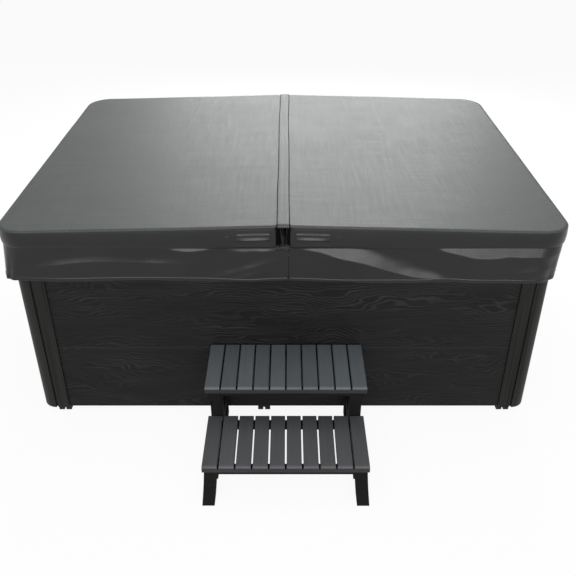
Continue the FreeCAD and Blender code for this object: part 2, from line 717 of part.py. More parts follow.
def jet_body(barrel):
    """A barrel through the wall with its nut drawn up behind."""
    nut = barrel + JET_NUT_MARGIN
    bore = barrel - JET_TUBE_WALL
    back = -WALL_ALONG_NORMAL
    end = -JET_BARREL_LENGTH
    profile = [(bore, 0), (bore, end + JET_TUBE_WALL), (0, end + JET_TUBE_WALL)]
    profile += [(0, end), (barrel, end), (barrel, back - JET_NUT_HEIGHT)]
    profile += [(nut, back - JET_NUT_HEIGHT), (nut, back), (barrel, back), (barrel, 0)]
    return turned(profile)


def jet_face(radius, barrel, nozzles, seat):
    """A domed face ring with a sleeve into the barrel and one or more nozzle holes."""
    sleeve = barrel - JET_TUBE_WALL - RUNNING_PLAY
    top = JET_FACE_HEIGHT
    profile = [(0, -JET_SLEEVE), (sleeve, -JET_SLEEVE), (sleeve, seat), (radius, seat), (radius, top * 0.4)]
    profile += [(radius * 0.86, top), (radius * 0.62, top), (radius * 0.52, top * 0.55), (0, top * 0.55)]
    face = turned(profile)
    spread = 0 if nozzles == 1 else sleeve * 0.5
    hole = sleeve * (0.55 if nozzles == 1 else 0.32)
    drills = []
    for i in range(nozzles):
        angle = 2 * math.pi * i / nozzles
        foot = V(spread * math.cos(angle), spread * math.sin(angle), -JET_SLEEVE)
        drills.append(Part.makeCylinder(hole, JET_SLEEVE + top, foot))
    return face.cut(drills)


def jet_bodies():
    small = [placed(jet_body(JET_BARREL_RADIUS), p) for p in small_jets()]
    return small + [placed(jet_body(ROTARY_BARREL_RADIUS), p) for p in rotary_jets()]


def small_jet_faces():
    return [placed(jet_face(JET_FACE_RADIUS, JET_BARREL_RADIUS, 1, 0), p) for p in small_jets()]


def rotary_jet_face(index):
    face = jet_face(ROTARY_FACE_RADIUS, ROTARY_BARREL_RADIUS, 2, FIT_PLAY)
    return placed(face, rotary_jets()[index])


SUCTION_Z = WELL_FLOOR + SUCTION_RISE
SUCTION_WALL_X = WELL_X - WELL_DRAFT + SUCTION_RISE * WELL_SLOPE
SUCTION_X = SUCTION_WALL_X + 2 * SHELL_WALL


def suction_cover():
    """A slotted dome over the pump's intake, with a tail through the right-hand wall of the foot well."""
    rim, top = SUCTION_RADIUS, SUCTION_HEIGHT
    tail = -3 * SHELL_WALL
    profile = [(PIPE_BORE, tail), (PIPE_RADIUS, tail), (PIPE_RADIUS, 0), (rim, 0), (rim, top * 0.4)]
    profile += [(rim * 0.8, top), (0, top), (0, top * 0.35), (PIPE_BORE, top * 0.35)]
    body = turned(profile)
    slots = []
    half_slot = SUCTION_SLOT_WIDTH / 2
    for i in range(SUCTION_SLOTS):
        y = (i - (SUCTION_SLOTS - 1) / 2) * rim * 0.27
        half = math.sqrt((rim * 0.7) ** 2 - y ** 2)
        slots.append(block(-half, half, y - half_slot, y + half_slot, top * 0.2, top))
    made = placed(body.cut(slots), well_wall("right", 0, SUCTION_Z))
    reach = 2 * PIPE_RADIUS
    return made.cut(block(SUCTION_X, SUCTION_X + reach, -reach, reach, SUCTION_Z - reach, SUCTION_Z + reach))


def light_lens():
    """A shallow lens on the back wall of the foot well."""
    rim, top = LIGHT_RADIUS, LIGHT_HEIGHT
    ring = [(0, 0), (rim, 0), (rim, top * 0.45), (rim * 0.85, top * 0.6), (rim * 0.6, top * 0.88), (0, top)]
    return placed(turned(ring), well_wall("back", 0, WELL_FLOOR + LIGHT_RISE))


def floor_drain():
    """A round grating on the floor of the foot well."""
    body = Part.makeCylinder(DRAIN_RADIUS, DRAIN_HEIGHT, V(0, 0, 0))
    holes = []
    for i in range(DRAIN_HOLES):
        spin = FreeCAD.Rotation(UP, 360.0 * i / DRAIN_HOLES)
        spot = spin.multVec(V(DRAIN_RADIUS * 0.6, 0, DRAIN_HEIGHT / 2))
        holes.append(Part.makeCylinder(DRAIN_RADIUS * 0.13, DRAIN_HEIGHT, spot))
    made = body.cut(holes)
    made.translate(V(DRAIN_X, 0, WELL_FLOOR))
    return made


def headrests():
    """Padded pillows at the top of the end walls: crowned, with their ends drawn in."""
    half, tall, deep = HEADREST_LENGTH / 2, HEADREST_HEIGHT / 2, HEADREST_THICKNESS
    sections = []
    for share, size in ((-1.0, 0.55), (-0.55, 0.96), (0.0, 1.0), (0.55, 0.96), (1.0, 0.55)):
        x, t, d = half * share, tall * size, deep * size
        foot, crest = V(x, -t, 0), V(x, t, 0)
        shoulder_low, shoulder_high = V(x, -t, d * 0.45), V(x, t, d * 0.45)
        arc = Part.Arc(shoulder_high, V(x, 0, d), shoulder_low).toShape()
        sides = [Part.LineSegment(foot, crest).toShape(), Part.LineSegment(crest, shoulder_high).toShape()]
        sections.append(Part.Wire(sides + [arc, Part.LineSegment(shoulder_low, foot).toShape()]))
    pillow = Part.makeLoft(sections, True, False)
    return [placed(pillow, bowl_wall(side, y, HEADREST_Z)) for side, y in end_wall_seats()]


# Controls on the shelf

SHELF_MID_X = (BOWL_X + EDGE_ROUNDING + SHELF_X) / 2


def button_places():
    """Two buttons on each side of the screen, in one row along the shelf."""
    inner = (SCREEN_LENGTH + BUTTON_BREADTH) / 2 + BUTTON_GAP
    outer = inner + BUTTON_BREADTH + BUTTON_GAP
    return [-outer, -inner, inner, outer]


BUTTON_TOP = SHELF_Z + TOPSIDE_HEIGHT + BUTTON_PROUD


def topside_panel():
    """Control plate on the right-hand shelf: a pocket for each button and a bare screen recess."""
    half_x, half_y = TOPSIDE_BREADTH / 2, TOPSIDE_LENGTH / 2
    plate = rounded_prism(half_x, half_y, half_x / 3, SHELF_Z, SHELF_Z + TOPSIDE_HEIGHT)
    plate.translate(V(SHELF_MID_X, 0, 0))
    pockets = []
    bx, by = BUTTON_LENGTH / 2 + FIT_PLAY, BUTTON_BREADTH / 2 + FIT_PLAY
    floor = BUTTON_TOP - BUTTON_HEIGHT - BUTTON_PROUD
    for y in button_places():
        pockets.append(block(SHELF_MID_X - bx, SHELF_MID_X + bx, y - by, y + by, floor, BUTTON_TOP))
    x0, x1 = SHELF_MID_X - SCREEN_BREADTH / 2, SHELF_MID_X + SCREEN_BREADTH / 2
    top = SHELF_Z + TOPSIDE_HEIGHT
    screen = block(x0, x1, -SCREEN_LENGTH / 2, SCREEN_LENGTH / 2, top - SCREEN_DEPTH, top)
    return plate.cut(pockets + [screen])


def button(y):
    x = SHELF_MID_X
    half_x, half_y = BUTTON_LENGTH / 2, BUTTON_BREADTH / 2
    cap = block(x - half_x, x + half_x, y - half_y, y + half_y, BUTTON_TOP - BUTTON_HEIGHT, BUTTON_TOP)
    top = [e for e in cap.Edges if all(abs(v.Z - BUTTON_TOP) < 0.01 for v in e.Vertexes)]
    return cap.makeFillet(BUTTON_ROUNDING, top)


def valve_places():
    """(y, knob radius, knob height) of the diverter and the two air controls on the left-hand shelf."""
    return [(0.0, KNOB_RADIUS, KNOB_HEIGHT), (-AIR_KNOB_Y, AIR_KNOB_RADIUS, AIR_KNOB_HEIGHT),
            (AIR_KNOB_Y, AIR_KNOB_RADIUS, AIR_KNOB_HEIGHT)]


def valve_bodies():
    """A collar on the shelf and a barrel below it for each control, bored for the knob's stem."""
    bodies = []
    for y, radius, _ in valve_places():
        neck = VALVE_STEM_RADIUS + VALVE_NECK
        bore = VALVE_STEM_RADIUS + RUNNING_PLAY
        low, shelf_under, end = -VALVE_BODY_LENGTH, -SHELL_WALL, -VALVE_STEM_LENGTH - VALVE_NECK
        profile = [(bore, VALVE_COLLAR_HEIGHT), (bore, end), (0, end), (0, low), (VALVE_BODY_RADIUS, low)]
        profile += [(VALVE_BODY_RADIUS, shelf_under), (neck, shelf_under), (neck, 0), (radius, 0)]
        profile += [(radius, VALVE_COLLAR_HEIGHT * 0.6), (radius * 0.94, VALVE_COLLAR_HEIGHT)]
        made = turned(profile)
        made.translate(V(-SHELF_MID_X, y, SHELF_Z))
        bodies.append(made)
    return bodies


def knob(index):
    """A lobed cap with a stem down into its valve."""
    y, radius, height = valve_places()[index]
    z0 = VALVE_COLLAR_HEIGHT + FIT_PLAY
    profile = [(0, -VALVE_STEM_LENGTH), (VALVE_STEM_RADIUS, -VALVE_STEM_LENGTH), (VALVE_STEM_RADIUS, z0)]
    profile += [(radius * 0.96, z0), (radius * 0.9, height * 0.85), (radius * 0.78, height), (0, height)]
    cap = turned(profile)
    scallop = radius * 0.2
    scallops = []
    for i in range(KNOB_LOBES):
        spot = FreeCAD.Rotation(UP, 360.0 * i / KNOB_LOBES).multVec(V(radius * 1.02, 0, z0))
        scallops.append(Part.makeCylinder(scallop, height, spot))
    pointer = block(radius * 0.2, radius * 0.68, -radius * 0.05, radius * 0.05, height - 1, height)
    made = cap.cut(scallops + [pointer])
    made.translate(V(-SHELF_MID_X, y, SHELF_Z))
    return made


def fitting_holes():
    """Holes in the shell for the jets, the intake and the control stems."""
    holes = []
    depth = 4 * SHELL_WALL
    for places, barrel in ((small_jets(), JET_BARREL_RADIUS), (rotary_jets(), ROTARY_BARREL_RADIUS)):
        drill = Part.makeCylinder(barrel + FIT_PLAY, depth, V(0, 0, -depth / 2))
        holes += [placed(drill, p) for p in places]
    intake = Part.makeCylinder(PIPE_RADIUS + FIT_PLAY, depth, V(0, 0, -depth / 2))
    holes.append(placed(intake, well_wall("right", 0, SUCTION_Z)))
    for y, _, _ in valve_places():
        neck = VALVE_STEM_RADIUS + VALVE_NECK + FIT_PLAY
        holes.append(Part.makeCylinder(neck, depth, V(-SHELF_MID_X, y, SHELF_Z - depth / 2)))
    return holes


# Filter

def filter_cartridge():
    """A pleated cartridge between two end caps, standing in the bore."""
    inner = FILTER_RADIUS - FILTER_PLEAT_DEPTH
    z0 = FILTER_BORE_BOTTOM
    points = []
    for i in range(2 * FILTER_PLEATS):
        angle = math.pi * i / FILTER_PLEATS
        r = FILTER_RADIUS if i % 2 == 0 else inner
        points.append(V(r * math.cos(angle), r * math.sin(angle), z0))
    paper = flat_prism(points, V(0, 0, FILTER_HEIGHT))
    cap_radius, cap = FILTER_RADIUS + 1, FILTER_CAP_HEIGHT
    low = Part.makeCylinder(cap_radius, cap, V(0, 0, z0))
    high = Part.makeCylinder(cap_radius, cap, V(0, 0, z0 + FILTER_HEIGHT - cap))
    core = Part.makeCylinder(FILTER_CORE_RADIUS, FILTER_HEIGHT, V(0, 0, z0))
    made = paper.multiFuse([low, high]).cut(core)
    made.translate(V(0, FILTER_Y, 0))
    return made


def filter_lid():
    """A round lid with a plug into the bore and a bar to lift it by."""
    top = LID_THICKNESS
    plug = FILTER_BORE_RADIUS - FIT_PLAY
    deep = -LID_PLUG_DEPTH
    bevel = LID_BEVEL
    profile = [(0, deep), (plug - bevel, deep), (plug, deep + bevel), (plug, FIT_PLAY)]
    profile += [(LID_RADIUS, FIT_PLAY), (LID_RADIUS, top - bevel), (LID_RADIUS - bevel, top), (0, top)]
    half, side = LID_GRIP_LENGTH / 2, LID_GRIP_WIDTH / 2
    bar = block(-half, half, -side, side, top - 1, top + LID_GRIP_HEIGHT)
    ends = [e for e in bar.Edges if is_upright(e)]
    made = turned(profile).fuse(bar.makeFillet(side * 0.85, ends))
    made.translate(V(0, FILTER_Y, TOWER_TOP))
    return made


WEIR_AXIS_Y = TOWER_FACE_Y - WEIR_THICKNESS - WEIR_PLAY
WEIR_AXIS_Z = WEIR_BOTTOM + WEIR_THICKNESS / 2 + WEIR_PLAY


def weir_door():
    """A floating flap in the tower's mouth, which turns about the pins at its round bottom edge."""
    half = WEIR_WIDTH / 2 - WEIR_PLAY
    top = WEIR_BOTTOM + WEIR_HEIGHT - WEIR_PLAY
    r = WEIR_THICKNESS / 2
    pin_half = WEIR_WIDTH / 2 + WEIR_PIN_LENGTH - FIT_PLAY
    leaf = block(-half, half, WEIR_AXIS_Y - r, WEIR_AXIS_Y + r, WEIR_AXIS_Z, top)
    along = V(1, 0, 0)
    roll = Part.makeCylinder(r, 2 * half, V(-half, WEIR_AXIS_Y, WEIR_AXIS_Z), along)
    pins = Part.makeCylinder(WEIR_PIN_RADIUS, 2 * pin_half, V(-pin_half, WEIR_AXIS_Y, WEIR_AXIS_Z), along)
    return joined([leaf, roll, pins])


# Pump, heater, control box and pipes

PUMP_HEIGHT = SUCTION_Z - 2 * PIPE_BEND - PIPE_STUB
WET_END_X = SUCTION_X + 2 * PIPE_BEND + 2 * PIPE_STUB
MOTOR_X = WET_END_X + WET_END_LENGTH
OUTLET_X = WET_END_X + WET_END_LENGTH / 2


def along_x(shape, x):
    """Turns a piece made along local Z to lie along X on the pump's axis."""
    return placed(shape, FreeCAD.Placement(V(x, 0, PUMP_HEIGHT), FreeCAD.Rotation(V(0, 1, 0), 90)))


def pump_wet_end():
    """A round volute with its intake on the axis and its outlet upwards."""
    wall, long = WET_END_WALL, WET_END_LENGTH
    inner = WET_END_RADIUS - wall
    profile = [(PIPE_BORE, 0), (WET_END_RADIUS, 0), (WET_END_RADIUS, long)]
    profile += [(SHAFT_RADIUS + RUNNING_PLAY, long), (SHAFT_RADIUS + RUNNING_PLAY, long - wall)]
    profile += [(inner, long - wall), (inner, wall), (PIPE_BORE, wall)]
    volute = along_x(turned(profile), WET_END_X)
    reach = PIPE_RADIUS + WET_END_WALL
    spout = Part.makeCylinder(reach, WET_END_RADIUS + wall * 2, V(OUTLET_X, 0, PUMP_HEIGHT))
    spout = spout.cut(Part.makeCylinder(inner, long, V(WET_END_X, 0, PUMP_HEIGHT), V(1, 0, 0)))
    bore = Part.makeCylinder(PIPE_RADIUS + RUNNING_PLAY, WET_END_RADIUS * 2, V(OUTLET_X, 0, PUMP_HEIGHT))
    return volute.fuse(spout).cut(bore)


def pump_motor():
    """A finned motor on a cast foot, bored for the shaft."""
    body = tube(MOTOR_RADIUS - MOTOR_FIN_HEIGHT, SHAFT_RADIUS + RUNNING_PLAY, 0, MOTOR_LENGTH)
    fins = []
    half = MOTOR_FIN_WIDTH / 2
    z0, z1 = MOTOR_BELL_LENGTH, MOTOR_LENGTH - MOTOR_BELL_LENGTH
    for i in range(MOTOR_FINS):
        fin = block(MOTOR_RADIUS * 0.6, MOTOR_RADIUS, -half, half, z0, z1)
        fins.append(spun(fin, 360.0 * i / MOTOR_FINS))
    bells = []
    for z in (0, MOTOR_LENGTH - MOTOR_BELL_LENGTH):
        bells.append(tube(MOTOR_RADIUS, SHAFT_RADIUS + RUNNING_PLAY, z, z + MOTOR_BELL_LENGTH))
    motor = along_x(joined([body] + fins + bells), MOTOR_X)
    saddle = block(MOTOR_X + MOTOR_BELL_LENGTH, MOTOR_X + MOTOR_LENGTH - MOTOR_BELL_LENGTH,
                   -PUMP_FOOT_WIDTH / 2, PUMP_FOOT_WIDTH / 2, BASE_WALL, PUMP_HEIGHT)
    hollow = Part.makeCylinder(MOTOR_RADIUS - MOTOR_FIN_HEIGHT - 1, MOTOR_LENGTH,
                               V(MOTOR_X, 0, PUMP_HEIGHT), V(1, 0, 0))
    return motor.fuse(saddle.cut(hollow))


def pump_rotor():
    """The shaft, with the impeller's disc and vanes inside the wet end."""
    gap = WET_END_WALL + IMPELLER_PLAY
    shaft = Part.makeCylinder(SHAFT_RADIUS, MOTOR_LENGTH - gap + WET_END_LENGTH - gap, V(0, 0, gap))
    disc_z = WET_END_LENGTH - WET_END_WALL - IMPELLER_DISC - IMPELLER_PLAY
    disc = Part.makeCylinder(IMPELLER_RADIUS, IMPELLER_DISC, V(0, 0, disc_z))
    vanes = []
    half, tip = IMPELLER_VANE_WIDTH / 2, disc_z - IMPELLER_VANE_HEIGHT
    for i in range(IMPELLER_VANES):
        vane = block(SHAFT_RADIUS / 2, IMPELLER_RADIUS - half, -half, half, tip, disc_z)
        vanes.append(spun(vane, 360.0 * i / IMPELLER_VANES))
    return along_x(joined([shaft, disc] + vanes), WET_END_X)


def hollow_pipe(edges, start, direction):
    """A pipe swept along straight runs and tangent arcs."""
    path = Part.Wire(edges)
    outer = Part.Wire(Part.makeCircle(PIPE_RADIUS, start, direction))
    inner = Part.Wire(Part.makeCircle(PIPE_BORE, start, direction))
    return path.makePipeShell([outer], True, True).cut(path.makePipeShell([inner], True, True))


def elbow(start, corner, end):
    """The arc between two square runs that would meet at the corner."""
    middle = corner + (start - corner + end - corner) * (1 - math.sqrt(0.5))
    return Part.Arc(start, middle, end).toShape()


def suction_pipe():
    """From the intake's tail out, down and on to the pump."""
    drop_x = SUCTION_X + PIPE_STUB + PIPE_BEND
    start, high = V(SUCTION_X, 0, SUCTION_Z), V(drop_x, 0, SUCTION_Z)
    low, end = V(drop_x, 0, PUMP_HEIGHT), V(WET_END_X, 0, PUMP_HEIGHT)
    across, down = V(PIPE_BEND, 0, 0), V(0, 0, PIPE_BEND)
    edges = [Part.LineSegment(start, high - across).toShape(), elbow(high - across, high, high - down)]
    edges += [Part.LineSegment(high - down, low + down).toShape(), elbow(low + down, low, low + across)]
    edges.append(Part.LineSegment(low + across, end).toShape())
    return hollow_pipe(edges, start, V(1, 0, 0))


HEATER_HEIGHT = SEAT_HEIGHT - SEAT_DISH_DEPTH - SHELL_WALL - HEATER_UNION_RADIUS - HEATER_SHELL_GAP
HEATER_X = OUTLET_X
HEATER_Y = PIPE_BEND + PIPE_STUB


def pressure_pipe():
    """Up out of the pump, then back to the heater."""
    foot, corner = V(OUTLET_X, 0, PUMP_HEIGHT + WET_END_RADIUS), V(OUTLET_X, 0, HEATER_HEIGHT)
    below, beyond = corner - V(0, 0, PIPE_BEND), corner + V(0, PIPE_BEND, 0)
    edges = [Part.LineSegment(foot, below).toShape(), elbow(below, corner, beyond)]
    edges.append(Part.LineSegment(beyond, V(OUTLET_X, HEATER_Y, HEATER_HEIGHT)).toShape())
    return hollow_pipe(edges, foot, UP)


def heater():
    """A stainless tube between two union nuts."""
    long, union = HEATER_LENGTH, HEATER_UNION_LENGTH
    nut = HEATER_UNION_RADIUS
    profile = [(PIPE_BORE, 0), (nut, 0), (nut, union), (HEATER_RADIUS, union)]
    profile += [(HEATER_RADIUS, long - union), (nut, long - union), (nut, long), (PIPE_BORE, long)]
    pose = FreeCAD.Placement(V(HEATER_X, HEATER_Y, HEATER_HEIGHT), FreeCAD.Rotation(V(1, 0, 0), -90))
    return placed(turned(profile), pose)


MANIFOLD_Y = HEATER_Y + HEATER_LENGTH + MANIFOLD_GAP


def manifold():
    """The pressure manifold behind the heater, with a barb for each jet hose."""
    x0 = HEATER_X - MANIFOLD_LENGTH / 2
    pipe = Part.makeCylinder(MANIFOLD_RADIUS, MANIFOLD_LENGTH, V(x0, MANIFOLD_Y, HEATER_HEIGHT), V(1, 0, 0))
    feed_start = V(HEATER_X, MANIFOLD_Y - MANIFOLD_GAP, HEATER_HEIGHT)
    feed = Part.makeCylinder(PIPE_RADIUS, MANIFOLD_GAP, feed_start, V(0, 1, 0))
    barbs = []
    pitch = MANIFOLD_LENGTH / MANIFOLD_BARBS
    for i in range(MANIFOLD_BARBS):
        foot = V(x0 + pitch * (i + 0.5), MANIFOLD_Y, HEATER_HEIGHT + MANIFOLD_RADIUS * 0.8)
        barbs.append(Part.makeCone(BARB_RADIUS, BARB_RADIUS * 0.8, BARB_LENGTH, foot))
    return joined([pipe, feed] + barbs)


CONTROL_X = FRAME_X - FRAME_SIZE - CONTROL_FRAME_GAP - CONTROL_LID - CONTROL_DEPTH
CONTROL_Y = MOTOR_RADIUS + CONTROL_FROM_MOTOR


def control_box():
    """The electrical box on the base and the raised lid on its open side."""
    x1, y1, z1 = CONTROL_X + CONTROL_DEPTH, CONTROL_Y + CONTROL_WIDTH, BASE_WALL + CONTROL_HEIGHT
    wall, rim = CONTROL_WALL, CONTROL_LID_RIM
    body = block(CONTROL_X, x1, CONTROL_Y, y1, BASE_WALL, z1)
    room = block(CONTROL_X + wall, x1, CONTROL_Y + wall, y1 - wall, BASE_WALL + wall, z1 - wall)
    plate = block(x1, x1 + wall, CONTROL_Y, y1, BASE_WALL, z1)
    raised = block(x1, x1 + CONTROL_LID, CONTROL_Y + rim, y1 - rim, BASE_WALL + rim, z1 - rim)
    front = [e for e in raised.Edges if all(v.X > x1 + wall for v in e.Vertexes)]
    return [body.cut(room), plate.fuse(raised.makeChamfer(CONTROL_LID / 3, front))]


# Cover: two tapered foam cores in sewn vinyl jackets, with a skirt round three sides of each half.

def cover_top(x):
    """Height of the cover's top at a distance from the hinge."""
    fall = (COVER_HINGE_THICKNESS - COVER_EDGE_THICKNESS) * abs(x) / COVER_X
    return COVER_BASE + COVER_HINGE_THICKNESS - fall


def half_slab(inset):
    """The right-hand half as a tapered slab with rounded edges, drawn in all round by the inset."""
    x0, x1, hy = HINGE_GAP / 2 + inset, COVER_X - inset, COVER_Y - inset
    r = COVER_RADIUS - inset
    z0 = COVER_BASE + inset
    slant = r * (1 - math.sqrt(0.5))
    points = [V(x0, -hy, z0), V(x1 - r, -hy, z0), V(x1, r - hy, z0)]
    points += [V(x1, hy - r, z0), V(x1 - r, hy, z0), V(x0, hy, z0)]
    edges = [Part.LineSegment(points[0], points[1]).toShape()]
    edges.append(Part.Arc(points[1], V(x1 - slant, slant - hy, z0), points[2]).toShape())
    edges.append(Part.LineSegment(points[2], points[3]).toShape())
    edges.append(Part.Arc(points[3], V(x1 - slant, hy - slant, z0), points[4]).toShape())
    edges.append(Part.LineSegment(points[4], points[5]).toShape())
    edges.append(Part.LineSegment(points[5], points[0]).toShape())
    prism = Part.Face(Part.Wire(edges)).extrude(V(0, 0, 2 * COVER_HINGE_THICKNESS))
    near, far, high = x0 - 1, x1 + 1, z0 + 3 * COVER_HINGE_THICKNESS
    above = [V(near, -2 * hy, cover_top(near) - inset), V(far, -2 * hy, cover_top(far) - inset)]
    above += [V(far, -2 * hy, high), V(near, -2 * hy, high)]
    slab = prism.cut(flat_prism(above, V(0, 4 * hy, 0)))
    top, under = [], []
    for e in slab.Edges:
        if all(abs(v.Z - cover_top(v.X) + inset) < 0.01 for v in e.Vertexes):
            top.append(e)
    slab = slab.makeFillet(max(COVER_ROUNDING - inset, 1), top)
    for e in slab.Edges:
        if all(abs(v.Z - z0) < 0.01 for v in e.Vertexes):
            under.append(e)
    return slab.makeFillet(max(COVER_UNDER_ROUNDING - inset, 1), under)


CORE_INSET = VINYL + CORE_PLAY


def channel_section(grow):
    """The folded channel over the hinge edge of the foam, or the seat cut for it when grown."""
    x0 = HINGE_GAP / 2 + CORE_INSET - grow
    x1 = x0 + CHANNEL_FLANGE + 2 * grow
    t = CHANNEL_STEEL + 2 * grow
    half = COVER_Y - CORE_INSET - CHANNEL_END_INSET + grow
    low = COVER_BASE + CORE_INSET - grow
    high0, high1 = cover_top(x0) - CORE_INSET + grow, cover_top(x1) - CORE_INSET + grow
    section = [(x0, low), (x1, low), (x1, low + t), (x0 + t, low + t)]
    section += [(x0 + t, high0 - t), (x1, high1 - t), (x1, high1), (x0, high0)]
    folded = flat_prism([V(x, -half, z) for x, z in section], V(0, 2 * half, 0))
    bend_top = COVER_ROUNDING - CORE_INSET + grow
    bend_low = COVER_UNDER_ROUNDING - CORE_INSET + grow
    bends = [(x0, high0, bend_top), (x0 + t, high0 - t, bend_top - t)]
    bends += [(x0, low, bend_low), (x0 + t, low + t, bend_low - t)]
    for x, z, radius in bends:
        edge = [e for e in folded.Edges if all(math.hypot(v.X - x, v.Z - z) < 0.01 for v in e.Vertexes)]
        folded = folded.makeFillet(max(radius, CHANNEL_STEEL / 3), edge)
    return folded


def cover_core():
    return half_slab(CORE_INSET).cut(channel_section(CORE_PLAY / 2))


def cover_jacket():
    """The vinyl round one foam half, with the zipped slot in its hinge side that the foam goes in by."""
    slot_half = COVER_Y - COVER_RADIUS - CHANNEL_END_INSET
    x = HINGE_GAP / 2
    mid = COVER_BASE + COVER_HINGE_THICKNESS / 2
    slot = block(x - 1, x + VINYL + 1, -slot_half, slot_half, mid - VINYL, mid + VINYL)
    return half_slab(0).cut(half_slab(VINYL)).cut(slot)


def heat_seal():
    """Foam seal along the hinge side of the right half, which fills the gap between the halves."""
    x = HINGE_GAP / 2
    top = COVER_BASE + COVER_HINGE_THICKNESS - COVER_ROUNDING - SEAL_DROP
    half = COVER_Y - COVER_ROUNDING
    return block(SEAL_SQUEEZE - x, x, -half, half, COVER_BASE + COVER_UNDER_ROUNDING, top)


def hinge_strip():
    """The vinyl strip sewn over the hinge from front to back, slightly arched."""
    half = STRIP_WIDTH / 2
    y = COVER_Y - COVER_ROUNDING
    seat = cover_top(half)
    low = [V(-half, -y, seat + STRIP_PLAY), V(0, -y, cover_top(0) + STRIP_CROWN), V(half, -y, seat)]
    high = [p + V(0, 0, STRIP_THICKNESS) for p in low]
    edges = [Part.Arc(*low).toShape(), Part.LineSegment(low[2], high[2]).toShape()]
    edges += [Part.Arc(*reversed(high)).toShape(), Part.LineSegment(high[0], low[0]).toShape()]
    return Part.Face(Part.Wire(edges)).extrude(V(0, 2 * y, 0))


def folded_line(start, end, outward, folds, depth):
    """Arcs from one point to another that bulge out and in by turns."""
    edges = []
    for i in range(folds):
        a = start + (end - start) * (i / folds)
        b = start + (end - start) * ((i + 1) / folds)
        bulge = depth if i % 2 == 0 else -depth
        edges.append(Part.Arc(a, (a + b) * 0.5 + outward * bulge, b).toShape())
    return edges


def skirt_line(x0, z, inset, flare, tuck, depth):
    """The skirt's line in plan, from the hinge along the front, round the end and along the back."""
    y0 = COVER_Y - SKIRT_INSET - inset
    x1, y1 = COVER_X - SKIRT_INSET - inset + flare, y0 - tuck
    r = COVER_RADIUS - SKIRT_INSET - inset
    slant = r * (1 - math.sqrt(0.5))
    edges = folded_line(V(x0, -y0, z), V(x1 - r, -y1, z), V(0, -1, 0), SKIRT_FRONT_FOLDS, depth)
    edges.append(Part.Arc(V(x1 - r, -y1, z), V(x1 - slant, slant - y1, z), V(x1, r - y1, z)).toShape())
    edges += folded_line(V(x1, r - y1, z), V(x1, y1 - r, z), V(1, 0, 0), SKIRT_SIDE_FOLDS, depth)
    edges.append(Part.Arc(V(x1, y1 - r, z), V(x1 - slant, y1 - slant, z), V(x1 - r, y1, z)).toShape())
    edges += folded_line(V(x1 - r, y1, z), V(x0, y0, z), V(0, 1, 0), SKIRT_FRONT_FOLDS, depth)
    return edges


def skirt_section(x0, z, flare, tuck, depth):
    """The closed section between the skirt's outer and inner lines."""
    outer = skirt_line(x0, z, 0, flare, tuck, depth)
    inner = skirt_line(x0, z, SKIRT_THICKNESS, flare, tuck, depth)
    y0 = COVER_Y - SKIRT_INSET
    y_in = y0 - SKIRT_THICKNESS
    back = Part.LineSegment(V(x0, y0, z), V(x0, y_in, z)).toShape()
    front = Part.LineSegment(V(x0, -y_in, z), V(x0, -y0, z)).toShape()
    return Part.Wire(outer + [back] + inner[::-1] + [front])


def cover_skirt(x0, flare, tuck):
    """Vinyl hung from the jacket's lower edge: flat at its seam, with folds that open towards the hem."""
    sections = [skirt_section(x0, COVER_BASE, 0, 0, SKIRT_SEAM_FOLD)]
    sections.append(skirt_section(x0, COVER_BASE - SKIRT_LENGTH / 2, flare / 2, tuck / 2, SKIRT_MID_FOLD))
    sections.append(skirt_section(x0, COVER_BASE - SKIRT_LENGTH, flare, tuck, SKIRT_HEM_FOLD))
    return Part.makeLoft(sections, True, True)


def cover_handles():
    """A sewn grip strap and its stitched tab, on the front and the back of the right-hand half."""
    z = COVER_BASE + COVER_HINGE_THICKNESS / 2 - HANDLE_BREADTH / 2 - HANDLE_BOW
    y = -COVER_Y
    x0, x1 = HANDLE_START, HANDLE_START + HANDLE_LENGTH
    xm = (x0 + x1) / 2
    t = HANDLE_THICKNESS
    inner = [V(x0, y, z), V(xm, y - HANDLE_BOW, z), V(x1, y, z)]
    outer = [p + V(0, -t, 0) for p in inner]
    edges = [Part.Arc(*inner).toShape(), Part.LineSegment(inner[2], outer[2]).toShape()]
    edges += [Part.Arc(*reversed(outer)).toShape(), Part.LineSegment(outer[0], inner[0]).toShape()]
    strap = Part.Face(Part.Wire(edges)).extrude(V(0, 0, HANDLE_BREADTH))
    tab_x = x1 + HANDLE_TAB_GAP
    tab = block(tab_x, tab_x + HANDLE_TAB, y - t / 2, y, z + HANDLE_BREADTH * 0.2, z + HANDLE_BREADTH * 0.8)
    return [strap, tab, mirrored_y(strap), mirrored_y(tab)]


# Step set: two slatted treads on black side frames.

SLAT_WIDTH = (STEP_WIDTH - (SLAT_COUNT - 1) * SLAT_GAP) / SLAT_COUNT


def slats(front_y, top_z):
    """Boards from front to back with a rounded nose at both ends."""
    r, t = SLAT_NOSE_RADIUS, SLAT_THICKNESS
    back_y, low = front_y + TREAD_DEPTH, top_z - t
    slant = r * (1 - math.sqrt(0.5))
    made = []
    for i in range(SLAT_COUNT):
        x = STEP_OFFSET_X - STEP_WIDTH / 2 + i * (SLAT_WIDTH + SLAT_GAP)
        p = [V(x, front_y, low), V(x, front_y, top_z - r), V(x, front_y + slant, top_z - slant)]
        p += [V(x, front_y + r, top_z), V(x, back_y - r, top_z), V(x, back_y - slant, top_z - slant)]
        p += [V(x, back_y, top_z - r), V(x, back_y, low)]
        edges = [Part.LineSegment(p[0], p[1]).toShape(), Part.Arc(p[1], p[2], p[3]).toShape()]
        edges += [Part.LineSegment(p[3], p[4]).toShape(), Part.Arc(p[4], p[5], p[6]).toShape()]
        edges += [Part.LineSegment(p[6], p[7]).toShape(), Part.LineSegment(p[7], p[0]).toShape()]
        made.append(Part.Face(Part.Wire(edges)).extrude(V(SLAT_WIDTH, 0, 0)))
    return made


